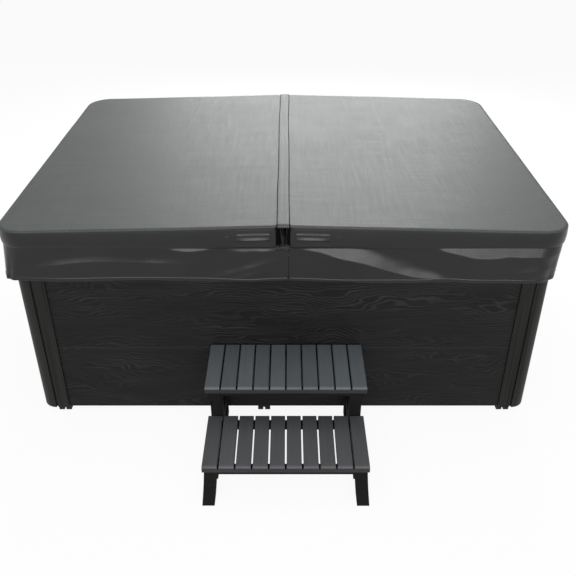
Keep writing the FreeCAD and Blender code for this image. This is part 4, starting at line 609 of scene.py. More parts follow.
def jacket_mesh(side):
    """The closed jacket of one half: top panel, edge, band and underside."""
    seed = JACKET_SEEDS[side]
    points, faces, kinds = [], [], []

    def add_panel(inset, height, flip):
        rows = []
        for row in panel_points(outline(inset)):
            rows.append(range(len(points), len(points) + len(row)))
            points.extend(Vector((p.x, p.y, height(p))) for p in row)
        for low_row, high_row in zip(rows, rows[1:]):
            for i in range(len(low_row) - 1):
                quad = [low_row[i], low_row[i + 1], high_row[i + 1], high_row[i]]
                faces.append(quad[::-1] if flip else quad)
                kinds.append(1 if flip else 0)
        rim = list(rows[0][:-1]) + [row[-1] for row in rows[:-1]]
        return rim + list(rows[-1][:0:-1]) + [row[0] for row in rows[:0:-1]]

    def add_ring(inset, height):
        plan = [p for edge in outline(inset) for p in edge[:-1]]
        points.extend(Vector((p.x, p.y, height(p))) for p in plan)
        return list(range(len(points) - len(plan), len(points)))

    def join(upper, lower, kind):
        for i in range(len(upper)):
            k = (i + 1) % len(upper)
            faces.append([upper[i], lower[i], lower[k], upper[k]])
            kinds.append(kind)

    rim = add_panel(TOP_ROUNDING, lambda p: top_height(p, seed), False)
    for step, (inset, drop) in enumerate(edge_profile()):
        ring = add_ring(inset, lambda p: top_height(p, seed) - drop)
        join(rim, ring, 0 if step < TOP_PANEL_STEPS else 1)
        rim = ring
    under = jacket_low.z + UNDER_ROUNDING
    for band in range(1, BAND_RINGS + 1):
        share = band / BAND_RINGS
        bulge = math.sin(math.pi * share)
        ring = add_ring(-BAND_SWELL * bulge,
                        lambda p: (cover_top(p.x) - TOP_ROUNDING) * (1 - share) + under * share)
        for p in points[ring[0]:]:
            p.y += math.copysign(wobble(p.x, p.y, p.z + seed, BAND_WAVE_PITCH, BAND_WAVE), p.y) * bulge
        join(rim, ring, 1)
        rim = ring
    for angle in (30, 60):
        a = math.radians(angle)
        ring = add_ring(UNDER_ROUNDING * (1 - math.cos(a)), lambda p: under - UNDER_ROUNDING * math.sin(a))
        join(rim, ring, 1)
        rim = ring
    join(rim, add_panel(UNDER_ROUNDING, lambda p: jacket_low.z, True), 1)
    return half_mesh(f"cover_{side}_jacket_sewn", side, points, faces, kinds)


def linen_vinyl():
    """Grey vinyl embossed with a linen weave, with slubs that run along both threads."""
    material, place = new_finish("linen_vinyl", Specular_IOR_Level=0.28)
    split = place.node("SeparateXYZ", {}, {0: place})
    across, along = [Wire(split.tree, s) for s in split.socket.node.outputs[:2]]
    broad_across = cloud(stretched(place, 4, 60, 1), 1, 2)
    fine_across = cloud(stretched(place, 10, 150, 1), 1, 2)
    broad_along = cloud(stretched(place, 85, 4, 1), 1, 2)
    fine_along = cloud(stretched(place, 200, 10, 1), 1, 2)
    slubs = 0.325 * (broad_across + broad_along) + 0.175 * (fine_across + fine_along)
    patch = cloud(place, 2.2, 2)
    shade = 0.5 + 1.5 * (slubs - 0.5) + 0.4 * (patch - 0.5)
    colour = tint(shade, srgb(38, 41, 41), srgb(76, 80, 79))
    weave = 0.02 * (stripes(across, THREAD_PITCH) + stripes(along, THREAD_PITCH)) + slubs
    return lay_on(material, colour, 0.35 + 0.34 * slubs + 0.08 * patch, weave, 0.0009)


def plain_vinyl(name, dark, light, gloss):
    """Smooth vinyl with a faint leather grain and scuffed patches."""
    material, place = new_finish(name, Specular_IOR_Level=0.34)
    grain = cells(place, 480)
    patch = cloud(place, 6, 3)
    fine = cloud(place, 90, 3)
    colour = tint(patch, srgb(*dark), srgb(*light))
    roughness = gloss + 0.14 * (patch - 0.5) + 0.06 * fine
    return lay_on(material, colour, roughness, 0.5 * grain + 0.5 * fine, 0.00014)


linen = linen_vinyl()
band_vinyl = plain_vinyl("band_vinyl", (13, 13, 14), (20, 20, 20), 0.30)
for side in HALVES:
    jacket = new_object(f"cover_{side}_jacket_sewn", jacket_mesh(side))
    jacket.data.materials.append(linen)
    jacket.data.materials.append(band_vinyl)
    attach(jacket, f"cover_{side}")
    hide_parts(f"cover_{side}_jacket")


# Cover skirts.
# Plain vinyl hung from the lower seam of each half down over the cabinet's top, with a turned and
# stitched hem. It drapes in shallow folds, with the creases that it took in its carton.

SKIRT_DROP = jacket_low.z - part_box("cover_right_skirt")[0].z
SKIRT_INSET = 0.005
SKIRT_STEP = 0.009
SKIRT_ROWS = 44
SKIRT_CLOTH = 0.0022
WAVE_AT_SEAM = 0.0006
WAVE_AT_HEM = 0.006
WAVES = {"front": 3, "end": 4, "back": 3}
SIDE_LENGTHS = {"front": 0.94, "end": 1.4, "back": 0.94}
CORNER_COLUMNS = 16
CORNER_FLUTE = 0.003
CORNER_FLUTES = 5
HEM_TURN = 0.013
HEM_RAISE = 0.0012
FOLD_RETURN = 0.16
FOLD_FADE = 0.035
FOLD_BOW = 0.5
FOLD_BOW_REACH = 0.02
RIPPLE = 0.0008
RIPPLE_PITCH = (0.055, 0.035)
FOLD_CORNER_CUTS = 2
SKIRT_TUCKED = 0.004
HEM_LEDGE = 0.0004
SKIRT_FORMS = {"right": {"start": 0.0202, "flare": -0.010, "tuck": -0.007, "hem_corner": 0.102},
               "left": {"start": -0.0198, "flare": 0.004, "tuck": 0.007, "hem_corner": 0.055}}
# Folds across the front of each half, as stations from the hinge outwards: how far along, how far
# under the seam, how much of the cloth above leans out to the fold, and how far out the fold stands.
FRONT_FOLDS = {
    "right": [[(0.031, 0.006, 0.006, 0.000), (0.105, 0.011, 0.011, 0.005), (0.145, 0.022, 0.022, 0.010),
               (0.189, 0.036, 0.036, 0.016), (0.246, 0.047, 0.047, 0.019), (0.303, 0.063, 0.058, 0.020),
               (0.359, 0.084, 0.066, 0.020), (0.416, 0.101, 0.062, 0.019), (0.472, 0.118, 0.056, 0.018),
               (0.548, 0.127, 0.036, 0.011), (0.623, 0.133, 0.014, 0.000)],
              [(0.547, 0.003, 0.003, 0.000), (0.585, 0.015, 0.015, 0.006), (0.641, 0.024, 0.024, 0.010),
               (0.690, 0.036, 0.036, 0.016), (0.773, 0.036, 0.036, 0.016), (0.819, 0.028, 0.028, 0.012),
               (0.849, 0.032, 0.032, 0.014), (0.945, 0.032, 0.032, 0.014)],
              [(0.800, 0.104, 0.030, 0.000), (0.890, 0.096, 0.030, 0.006), (0.945, 0.086, 0.030, 0.005)]],
    "left": [[(0.262, 0.004, 0.004, 0.000), (0.300, 0.010, 0.010, 0.004), (0.350, 0.014, 0.014, 0.006),
              (0.400, 0.010, 0.010, 0.004), (0.450, 0.004, 0.004, 0.000)],
             [(0.030, 0.006, 0.006, 0.000), (0.085, 0.013, 0.013, 0.005), (0.125, 0.010, 0.010, 0.003),
              (0.160, 0.016, 0.016, 0.005), (0.225, 0.006, 0.006, 0.000)],
             [(0.300, 0.068, 0.026, 0.000), (0.440, 0.064, 0.028, 0.007), (0.560, 0.060, 0.026, 0.005),
              (0.690, 0.055, 0.026, 0.005), (0.780, 0.064, 0.028, 0.007), (0.870, 0.080, 0.026, 0.004),
              (0.945, 0.098, 0.024, 0.002)],
             [(0.030, 0.044, 0.024, 0.000), (0.130, 0.080, 0.026, 0.006), (0.300, 0.136, 0.020, 0.000)],
             [(0.070, 0.090, 0.018, 0.000), (0.140, 0.112, 0.018, 0.004), (0.200, 0.132, 0.016, 0.000)]]}
# Folds on the end and the back of each half: how many, and the least and most of each measure. Flat
# folds close under the seam take turns with slanting ones further down.
OTHER_FOLDS = {"end": 6, "back": 5}
FOLD_MIDDLE = (0.3, 0.7)
FOLD_HALF = (0.3, 0.48)
HIGH_FOLD_DROP = (0.018, 0.04)
LOW_FOLD_DROP = (0.05, 0.085)
LOW_FOLD_SLANT = (-0.03, 0.03)
FOLD_LEAN = (0.02, 0.034)
FOLD_STEEPNESS = (0.3, 0.46)


def random_folds(seed, length, count):
    """Folds for the end or the back, of the same kinds as the front's."""
    draw = random.Random(seed)
    folds = []
    for number in range(count):
        middle = (number + draw.uniform(*FOLD_MIDDLE)) * length / count
        half = draw.uniform(*FOLD_HALF) * length / count
        drop = draw.uniform(*HIGH_FOLD_DROP) if number % 2 else draw.uniform(*LOW_FOLD_DROP)
        slant = 0 if number % 2 else draw.uniform(*LOW_FOLD_SLANT)
        lean = min(drop, draw.uniform(*FOLD_LEAN))
        stand = lean * draw.uniform(*FOLD_STEEPNESS)
        folds.append([(middle - half, drop - slant, lean, 0), (middle, drop, lean, stand),
                      (middle + half, drop + slant, lean, 0)])
    return folds


def softened(stations):
    """A fold's stations with their corners cut, so that it runs smoothly through them."""
    for _ in range(FOLD_CORNER_CUTS):
        cut = [stations[0]]
        for first, second in zip(stations, stations[1:]):
            for share in (0.25, 0.75):
                cut.append([p + (q - p) * share for p, q in zip(first, second)])
        stations = cut + [stations[-1]]
    return stations


def folds_at(folds, along):
    """The (drop, lean, stand) of each fold that crosses a place along its side."""
    crossed = []
    for stations in folds:
        for (a0, *first), (a1, *second) in zip(stations, stations[1:]):
            if a0 <= along < a1:
                share = (along - a0) / (a1 - a0)
                crossed.append([p + (q - p) * share for p, q in zip(first, second)])
    return crossed


def skirt_folds(side):
    """For each straight side of a skirt, the folds that cross each of its columns."""
    folds = {"front": FRONT_FOLDS[side]}
    for name, count in OTHER_FOLDS.items():
        folds[name] = random_folds(f"{side} {name}", SIDE_LENGTHS[name], count)
    columns = {}
    for name, length in SIDE_LENGTHS.items():
        smooth = [softened(stations) for stations in folds[name]]
        count = round(length / SKIRT_STEP)
        columns[name] = [folds_at(smooth, length * i / count) for i in range(count + 1)]
    return columns


def fold_stand(crossed, fall):
    """How far the folds that cross a column push the cloth out at a drop from the seam."""
    push = 0
    for drop, lean, stand in crossed:
        past = fall - drop
        if past < 0:
            bow = FOLD_BOW * min(1, (drop - lean) / FOLD_BOW_REACH)
            push += stand * max(0, 1 + past / lean) ** (1 + bow)
        else:
            push += stand * max(0, 1 - past / FOLD_RETURN)
    return push


def skirt_sides(form, share):
    """The corner's radius, and the five stretches of the skirt's line at a share of its drop."""
    seam_corner = OUTER_CORNER - SKIRT_INSET
    radius = seam_corner + (form["hem_corner"] - seam_corner) * share
    far = jacket_high.x - SKIRT_INSET + form["flare"] * share
    seam_y = jacket_high.y - SKIRT_INSET
    corner_y = seam_y - form["tuck"] * share
    start, bend = form["start"], far - radius
    straight_y = corner_y - radius
    return radius, [("front", Vector((start, -seam_y)), Vector((bend, -corner_y))),
                    ("corner", Vector((bend, -straight_y)), -90),
                    ("end", Vector((far, -straight_y)), Vector((far, straight_y))),
                    ("corner", Vector((bend, straight_y)), 0),
                    ("back", Vector((bend, corner_y)), Vector((start, seam_y)))]


def skirt_row(form, fall, folds):
    """One row of the skirt's points at a drop from the seam."""
    share = fall / SKIRT_DROP
    wave = WAVE_AT_SEAM + (WAVE_AT_HEM - WAVE_AT_SEAM) * share
    hem = HEM_RAISE if fall > SKIRT_DROP - HEM_TURN else 0
    radius, sides = skirt_sides(form, share)
    row = []
    for name, first, last in sides:
        if name == "corner":
            for column in range(CORNER_COLUMNS):
                part = column / CORNER_COLUMNS
                angle = math.radians(last + 90 * part)
                flute = CORNER_FLUTE * share * math.sin(math.pi * part)
                flute *= math.sin(CORNER_FLUTES * math.pi * part)
                push = flute + (1 - part) ** 2 * fold_stand(beside, fall)
                row.append(first + Vector((math.cos(angle), math.sin(angle))) * (radius + push + hem))
            continue
        beside = folds[name][-1]
        run = last - first
        out = Vector((run.y, -run.x)).normalized()
        steps = len(folds[name]) - 1
        for column in range(steps + (1 if name == "back" else 0)):
            part = column / steps
            faded = min(1, part * run.length / FOLD_FADE)
            if name == "back":
                faded = min(faded, (1 - part) * run.length / FOLD_FADE)
            spot = Vector((first.x + part * run.length / RIPPLE_PITCH[0], fall / RIPPLE_PITCH[1], first.y))
            push = wave * math.sin(math.pi * WAVES[name] * part) + faded * RIPPLE * noise.noise(spot)
            push += faded * fold_stand(folds[name][column], fall)
            row.append(first + run * part + out * (push + hem))
    return row


def skirt_mesh(side):
    """The cloth of one half's skirt, row by row from just inside the seam down to the hem."""
    hem_top = SKIRT_DROP - HEM_TURN
    falls = [-SKIRT_TUCKED, hem_top - HEM_LEDGE, hem_top + HEM_LEDGE]
    falls += [SKIRT_DROP * i / SKIRT_ROWS for i in range(SKIRT_ROWS + 1)]
    folds = skirt_folds(side)
    points, faces = [], []
    for fall in sorted(falls):
        row = skirt_row(SKIRT_FORMS[side], fall, folds)
        points.extend(Vector((p.x, p.y, jacket_low.z - fall)) for p in row)
    wide = len(row)
    for j in range(len(falls) - 1):
        for a in range(j * wide, j * wide + wide - 1):
            faces.append([a, a + wide, a + wide + 1, a + 1])
    return half_mesh(f"cover_{side}_skirt_hung", side, points, faces)


skirt_vinyl = plain_vinyl("skirt_vinyl", (12, 12, 13), (18, 18, 18), 0.29)
for side in HALVES:
    skirt = new_object(f"cover_{side}_skirt_hung", skirt_mesh(side))
    skirt.data.materials.append(skirt_vinyl)
    wall = skirt.modifiers.new("cloth", "SOLIDIFY")
    wall.thickness = SKIRT_CLOTH
    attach(skirt, f"cover_{side}")
    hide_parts(f"cover_{side}_skirt")


# Cover handles.
# A folded vinyl flap at each side of the hinge, front and back, sewn down at its top and ends so
# that a hand goes in under its free lower edge, and a small square patch that backs its rivet.

STRAP_SPAN = (0.046, 0.177)
STRAP_RISE = (0.824, 0.892)
STRAP_CLOTH = 0.0018
STRAP_SEWN = 0.0012
STRAP_EDGE = 0.42
STRAP_EDGE_DROP = 0.06
STRAP_SWELL = 0.0075
STRAP_RIDGE = 0.71
STRAP_RIDGE_HEIGHT = 0.0032
STRAP_RIDGE_SPREAD = 0.05
STRAP_SWAY = 0.02
STRAP_SWAY_WAVES = 1.3
STRAP_SWAY_START = 0.2
STRAP_RIDGE_TURN = 4
STRAP_SLACK = 0.08
STRAP_HOLD = 0.6
STRAP_SWELL_CURVE = 2.2
STRAP_STEPS = (40, 48)
PATCH_SPAN = (0.195, 0.212)
PATCH_RISE = (0.8467, 0.8683)
PATCH_CLOTH = 0.0006
PATCH_STAND = 0.0012
PATCH_BEVEL = 9


def strap_points(span, rise, face, sign, stand):
    """A grid over a sewn piece on the front or back of the cover, with its height off that face."""
    rows = []
    for j in range(STRAP_STEPS[1] + 1):
        v = j / STRAP_STEPS[1]
        row = []
        for i in range(STRAP_STEPS[0] + 1):
            u = i / STRAP_STEPS[0]
            x = span[0] + (span[1] - span[0]) * u
            z = rise[0] + (rise[1] - rise[0]) * v
            row.append(Vector((sign * x, face * (jacket_high.y + stand(u, v)), z)))
        rows.append(row)
    return rows


def strap_stand(u, v):
    """A flap that swells from its sewn top down to a free lower edge, with one fold across it."""
    edge = STRAP_EDGE + STRAP_SWAY * math.sin(math.pi * (STRAP_SWAY_WAVES * u + STRAP_SWAY_START))
    held = math.sin(math.pi * min(1, STRAP_SLACK + (1 - STRAP_SLACK) * u)) ** STRAP_HOLD
    if v > edge:
        swell = STRAP_SWELL * ((1 - v) / (1 - edge)) ** STRAP_SWELL_CURVE
    else:
        swell = STRAP_SWELL * max(0, 1 - (edge - v) / STRAP_EDGE_DROP)
    away = (v - STRAP_RIDGE - STRAP_SWAY * math.cos(STRAP_RIDGE_TURN * u)) / STRAP_RIDGE_SPREAD
    return STRAP_SEWN + held * (swell + STRAP_RIDGE_HEIGHT * math.exp(-away * away))


def patch_stand(u, v):
    """A flat patch with bevelled edges."""
    across = min(1, PATCH_BEVEL * u, PATCH_BEVEL * (1 - u))
    return PATCH_CLOTH + PATCH_STAND * across * min(1, PATCH_BEVEL * v, PATCH_BEVEL * (1 - v))


def grid_faces(first, rows, columns, flip=False):
    """The quads of a grid whose points run row by row from a first index."""
    faces = []
    for j in range(rows - 1):
        for i in range(columns - 1):
            a = first + j * columns + i
            quad = [a, a + 1, a + columns + 1, a + columns]
            faces.append(quad[::-1] if flip else quad)
    return faces


def strap_mesh(side, sign):
    """The straps and patches of one half, front and back."""
    points, faces = [], []
    for span, rise, stand in ((STRAP_SPAN, STRAP_RISE, strap_stand), (PATCH_SPAN, PATCH_RISE, patch_stand)):
        for face in (-1, 1):
            rows = strap_points(span, rise, face, sign, stand)
            faces.extend(grid_faces(len(points), len(rows), len(rows[0]), sign * face > 0))
            points.extend(p for row in rows for p in row)
    return smooth_mesh(f"cover_{side}_straps", points, faces)


strap_vinyl = plain_vinyl("strap_vinyl", (15, 15, 16), (22, 22, 22), 0.30)
for side, sign in HALVES.items():
    strap = new_object(f"cover_{side}_straps", strap_mesh(side, sign))
    strap.data.materials.append(strap_vinyl)
    wall = strap.modifiers.new("cloth", "SOLIDIFY")
    wall.thickness = STRAP_CLOTH
    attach(strap, f"cover_{side}")
    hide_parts(f"cover_{side}_handles")


# Hinge strip.
# A doubled strip of linen vinyl over the gap between the halves, sewn along both edges. A matt black
# edge on each side is painted shade for the seam's groove. It lies a little wavy, and its ends are
# turned down over the cover's edge.

strip_low, strip_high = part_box("cover_hinge_strip")
STRIP_SELVEDGE = 0.003
STRIP_HALF = strip_high.x + STRIP_SELVEDGE
STRIP_CLOTH = 0.0022
STRIP_STEPS = (220, 16)
STRIP_TURN = 0.016
STRIP_WANDER = 0.004
STRIP_WANDER_PITCH = 0.45
STRIP_SUNK = 0.0004
STRIP_CROWN = 0.0021
STRIP_PUCKER = 0.0008
STRIP_PUCKER_PITCH = 0.022
STRIP_SAG = 0.0008
STRIP_SAG_SPREAD = 0.2
STRIP_SEAM = 0.8
STRIP_SEAM_SUNK = 0.0003


def strip_point(u, along):
    """A point of the strip: u runs across from -1 to 1, along from the front to the back in metres."""
    y = max(min(along, strip_high.y), strip_low.y)
    over = along - y
    turn = abs(over) / TOP_ROUNDING
    wander = STRIP_WANDER * noise.noise(Vector((0.3, y / STRIP_WANDER_PITCH, 1.7)))
    x = u * STRIP_HALF + wander
    crown = (strip_high.z - STRIP_SUNK) - STRIP_CROWN * u * u
    pucker = STRIP_PUCKER * abs(u) ** 3 * noise.noise(Vector((u * 2, y / STRIP_PUCKER_PITCH, 5.2)))
    sag = -STRIP_SAG * math.exp(-(u / STRIP_SAG_SPREAD) ** 2)
    z = crown + pucker + sag - TOP_ROUNDING * (1 - math.cos(turn))
    return Vector((x, y + math.copysign(TOP_ROUNDING * math.sin(turn), over), z))


def strip_mesh():
    """The whole strip, with the outer column of faces on each side in the painted-shade black of the seam.
    """
    long, wide = STRIP_STEPS
    first, last = strip_low.y - STRIP_TURN, strip_high.y + STRIP_TURN
    points = []
    for j in range(long + 1):
        for i in range(wide + 1):
            points.append(strip_point(2 * i / wide - 1, first + (last - first) * j / long))
    # The outer column on each side takes the black finish, which is painted shade for the seam's groove.
    kinds = ([1] + [0] * (wide - 2) + [1]) * long
    return smooth_mesh("cover_hinge_strip_sewn", points, grid_faces(0, long + 1, wide + 1), kinds)


# A matt near-black finish that is painted shade: the groove of the strip's seams and the hollow of the
# hinge notches.
seam_and_notch_shade = moulded("black_painted_shade", (6, 6, 7), (10, 10, 11), 0.8, 0.0008, 0.0002, Specular_IOR_Level=0.03)
strip = new_object("cover_hinge_strip_sewn", strip_mesh())
strip.data.materials.append(linen)
strip.data.materials.append(seam_and_notch_shade)
wall = strip.modifiers.new("cloth", "SOLIDIFY")
wall.thickness = STRIP_CLOTH
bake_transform(strip)
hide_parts("cover_hinge_strip")


# Hinge gussets.
# Where the rounded hinge corners of the halves meet, a sheet closes the notch at the front and the
# back, matt black as painted shade for the hollow. A pleated vinyl tongue stands in its middle, and
# its foot turns out to the skirts.

GUSSET_HALF = 0.025
GUSSET_COVERS = 0.004
GUSSET_DEEPEST = 0.020
GUSSET_FOOT = 0.006
GUSSET_UNDER_STRIP = 0.004
GUSSET_RISE = (jacket_low.z - GUSSET_FOOT, strip_low.z - GUSSET_UNDER_STRIP)
GUSSET_STEPS = (20, 24)
GUSSET_CLOTH = 0.0016
TONGUE_HALF = 0.008
TONGUE_TOP = 0.6
TONGUE_STAND = 0.009
FOOT_TOP = 0.2
FOOT_TURN = 0.012
# Each pleat: where it starts at the top, where it ends at the foot, and how far out it stands.
PLEATS = ((-0.010, -0.003, 0.0045), (-0.001, -0.002, 0.0045), (0.014, 0.012, 0.0025))
PLEAT_HALF = 0.0016
PLEAT_BARE = 0.0018


def notch_depth(x):
    """How far behind the cover's face the painted-shade sheet lies: just over the rounded corner of a half.
    """
    short = max(0, jacket_low.x + HINGE_CORNER - abs(x))
    sunk = HINGE_CORNER - math.sqrt(max(0, HINGE_CORNER ** 2 - short ** 2))
    return min(sunk - GUSSET_COVERS, GUSSET_DEEPEST)


def pleat_stand(x, v):
    """How far the pleats stand out at a place, where v runs from 0 at the foot to 1 at the top."""
    stand = 0
    for top, foot, height in PLEATS:
        away = (x - foot - (top - foot) * v) / PLEAT_HALF
        stand += height * math.exp(-away * away)
    return stand


def gusset_mesh(side, sign):
    """The front and back gusset of one half, from the hinge line out over its corner."""
    across, up = GUSSET_STEPS
    points, faces, kinds = [], [], []
    for face in (-1, 1):
        faces.extend(grid_faces(len(points), up + 1, across + 1, face * sign > 0))
        for j in range(up + 1):
            v = j / up
            z = GUSSET_RISE[0] + (GUSSET_RISE[1] - GUSSET_RISE[0]) * v
            foot = FOOT_TURN * max(0, 1 - v / FOOT_TOP) ** 2
            for i in range(across + 1):
                x = sign * GUSSET_HALF * i / across
                tongue = TONGUE_STAND * math.exp(-(x / TONGUE_HALF) ** 2)
                depth = max(0, notch_depth(x) - tongue - pleat_stand(x, v) - foot)
                points.append(Vector((x, face * (jacket_high.y - depth), z)))
        for j in range(up):
            v = (j + 0.5) / up
            for i in range(across):
                x = sign * GUSSET_HALF * (i + 0.5) / across
                # The tongue, the foot and the raised pleats take the vinyl; the rest is the matt black of
                # painted shade.
                tongue = abs(x) < TONGUE_HALF and v < TONGUE_TOP
                kinds.append(1 if tongue or v < FOOT_TOP or pleat_stand(x, v) > PLEAT_BARE else 0)
    return smooth_mesh(f"cover_{side}_gussets", points, faces, kinds)


for side, sign in HALVES.items():
    gusset = new_object(f"cover_{side}_gussets", gusset_mesh(side, sign))
    gusset.data.materials.append(seam_and_notch_shade)
    gusset.data.materials.append(band_vinyl)
    wall = gusset.modifiers.new("cloth", "SOLIDIFY")
    wall.thickness = GUSSET_CLOTH
    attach(gusset, f"cover_{side}")


# Topstitching of the cover.
# Bonded grey thread in even lock stitches: round the top seam of each half, along both edges of
# the hinge strip, along the hem of each skirt and across the ends of the straps.

STITCH_PITCH = 0.0075
STITCH_LENGTH = 0.0052
STITCH_RADIUS = 0.00055
STITCH_SIDES = 5
TOP_STITCH_ANGLE = 28.0
HEM_STITCH_DROP = 0.002
STRAP_STITCH_COLUMNS = (1, 3, -4, -2)
STRAP_STITCH_MARGIN = 2


def add_step(tree, kind, settings, sockets):
    """Adds one geometry node: its settings first, then the values or links of its sockets."""
    made = tree.nodes.new(kind)
    for setting, value in settings.items():
        setattr(made, setting, value)
    for key, value in sockets.items():
        if isinstance(value, bpy.types.NodeSocket):
            tree.links.new(value, made.inputs[key])
        else:
            made.inputs[key].default_value = value
    return made


def new_tree(name, inputs):
    """An empty node tree with a Geometry input and output and the named inputs."""
    tree = bpy.data.node_groups.new(name, "GeometryNodeTree")
    tree.interface.new_socket("Geometry", in_out="INPUT", socket_type="NodeSocketGeometry")
    for socket, kind in inputs.items():
        tree.interface.new_socket(socket, in_out="INPUT", socket_type="NodeSocket" + kind)
    tree.interface.new_socket("Geometry", in_out="OUTPUT", socket_type="NodeSocketGeometry")
    return tree, tree.nodes.new("NodeGroupInput").outputs


def close_tree(tree, geometry, material):
    """Ends a tree with plain geometry in one material."""
    real = add_step(tree, "GeometryNodeRealizeInstances", {}, {0: geometry})
    painted = add_step(tree, "GeometryNodeSetMaterial", {},
                       {"Geometry": real.outputs[0], "Material": material})
    end = tree.nodes.new("NodeGroupOutput")
    tree.links.new(painted.outputs[0], end.inputs[0])


def grown(name, seed_mesh, tree, values):
    """A new object with the plain mesh that a tree makes from a seed mesh."""
    holder = new_object(name, seed_mesh)
    modifier = holder.modifiers.new("grow", "NODES")
    modifier.node_group = tree
    for item in tree.interface.items_tree:
        if item.name in values:
            modifier[item.identifier] = values[item.name]
    holder.data = evaluated_mesh(holder)
    holder.modifiers.clear()
    return holder


def stitch_tree():
    """Short threads laid end to end along a line of edges."""
    tree, given = new_tree("stitch_row", {"Pitch": "Float", "Length": "Float", "Radius": "Float",
                                          "Material": "Material"})
    line = add_step(tree, "GeometryNodeMeshToCurve", {}, {"Mesh": given["Geometry"]})
    even = add_step(tree, "GeometryNodeResampleCurve", {"mode": "LENGTH"},
                    {"Curve": line.outputs[0], "Length": given["Pitch"]})
    thread = add_step(tree, "GeometryNodeMeshCylinder", {"fill_type": "NGON"},
                      {"Vertices": STITCH_SIDES, "Radius": given["Radius"], "Depth": given["Length"]})
    way = add_step(tree, "GeometryNodeInputTangent", {}, {})
    turn = add_step(tree, "FunctionNodeAlignRotationToVector", {"axis": "Z"}, {"Vector": way.outputs[0]})
    row = add_step(tree, "GeometryNodeInstanceOnPoints", {},
                   {"Points": even.outputs[0], "Instance": thread.outputs[0], "Rotation": turn.outputs[0]})
    close_tree(tree, row.outputs[0], given["Material"])
    return tree


def stitched(name, lines, body):
    """Topstitching along lines of points, riding on a body."""
    points, edges = [], []
    for line in lines:
        edges.extend((len(points) + i, len(points) + i + 1) for i in range(len(line) - 1))
        points.extend(line)
    mesh = bpy.data.meshes.new(name)
    mesh.from_pydata(points, edges, [])
    row = grown(name, mesh, stitch_rows, {"Pitch": STITCH_PITCH, "Length": STITCH_LENGTH,
                                          "Radius": STITCH_RADIUS, "Material": thread_finish})
    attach(row, body)
    return row


def top_seam_line(side, sign):
    """The line just inside the raised seam, from the hinge round the end of a half and back."""
    a = math.radians(TOP_STITCH_ANGLE)
    sides = outline(TOP_ROUNDING * (1 - math.sin(a)))
    plan = sides[0][CORNER_STEPS:] + sides[1][1:] + sides[2][1:-CORNER_STEPS]
    drop = TOP_ROUNDING * (1 - math.cos(a))
    return [Vector((sign * p.x, p.y, top_height(p, JACKET_SEEDS[side]) - drop)) for p in plan]


def hem_line(side, sign):
    """The line of stitches along the top of a skirt's hem."""
    fall = SKIRT_DROP - HEM_TURN + HEM_STITCH_DROP
    row = skirt_row(SKIRT_FORMS[side], fall, skirt_folds(side))
    return [Vector((sign * p.x, p.y, jacket_low.z - fall)) for p in row]


def strip_line(sign):
    """The line of stitches along one edge of the hinge strip."""
    steps = STRIP_STEPS[0]
    line = []
    for j in range(steps + 1):
        spot = strip_point(STRIP_SEAM * sign, strip_low.y + (strip_high.y - strip_low.y) * j / steps)
        line.append(spot - Vector((0, 0, STRIP_SEAM_SUNK)))
    return line


def strap_lines(sign):
    """Two lines of stitches across each end of the straps."""
    lines = []
    for face in (-1, 1):
        rows = strap_points(STRAP_SPAN, STRAP_RISE, face, sign, strap_stand)
        for column in STRAP_STITCH_COLUMNS:
            lines.append([row[column] for row in rows[STRAP_STITCH_MARGIN:-STRAP_STITCH_MARGIN]])
    return lines


thread_finish = moulded("grey_thread", (30, 31, 31), (44, 45, 45), 0.6, 0.0006, 0.0002,
                        Specular_IOR_Level=0.2)
stitch_rows = stitch_tree()
for side, sign in HALVES.items():
    lines = [top_seam_line(side, sign), hem_line(side, sign), strip_line(sign)] + strap_lines(sign)
    stitched(f"cover_{side}_stitches", lines, f"cover_{side}")


# Step frames, cross rails and foot pads.
# Two black moulded side frames with swept front legs, tied by rails under the treads, on rubber
# pads. The edges are eased, as moulded edges are.

FRAME_EASE = 0.0025
PAD_EASE = 0.001
EASED_ABOVE_ANGLE = 40.0


def eased(node, ease, finish, body):
    """A merged copy of a CAD node with its edges rounded, which stands for the node."""
    piece = new_object(node + "_eased", merged_copy(node))
    piece.data.materials.append(finish)
    piece.data.shade_smooth()
    rounded = piece.modifiers.new("eased edges", "BEVEL")
    rounded.width = ease
    rounded.segments = 3
    rounded.limit_method = "ANGLE"
    rounded.angle_limit = math.radians(EASED_ABOVE_ANGLE)
    rounded.harden_normals = True
    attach(piece, body)
    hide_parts(node)


frame_plastic = moulded("frame_plastic", (20, 20, 21), (28, 28, 29), 0.75, 0.0014, 0.0003,
                        Specular_IOR_Level=0.03)
pad_rubber = moulded("pad_rubber", (18, 18, 18), (26, 26, 26), 0.8, 0.0009, 0.0003, Specular_IOR_Level=0.2)
for node in ("step_left_frame", "step_right_frame", "step_cross_rails"):
    eased(node, FRAME_EASE, frame_plastic, "step_set")
eased("step_foot_pads", PAD_EASE, pad_rubber, "step_set")


# Step treads.
# Ten composite slats to a tread, from front to back, with rounded noses and long edges. The face
# is brushed along the slat, each slat has its own grey, and a flat lip closes the row in front, in a
# darker grey that is painted shade.

SLATS = 10
SLAT_GAP = 0.0065
SLAT_NOSE = 0.009
SLAT_EDGE = 0.0025
SLAT_CORNER = 0.25
SLAT_CREASE_ANGLE = 50.0
NOSE_STEPS = 6
EDGE_STEPS = 3
LIP_STAND = 0.0025
LIP_EDGE = 0.001


def eased_stations(length, radius, steps):
    """(place, drop) pairs along a length whose two ends are rounded over."""
    stations = []
    for step in range(steps + 1):
        a = math.pi / 2 * step / steps
        stations.append((radius * (1 - math.cos(a)), radius * (1 - math.sin(a))))
    return stations + [(length - place, drop) for place, drop in reversed(stations)]


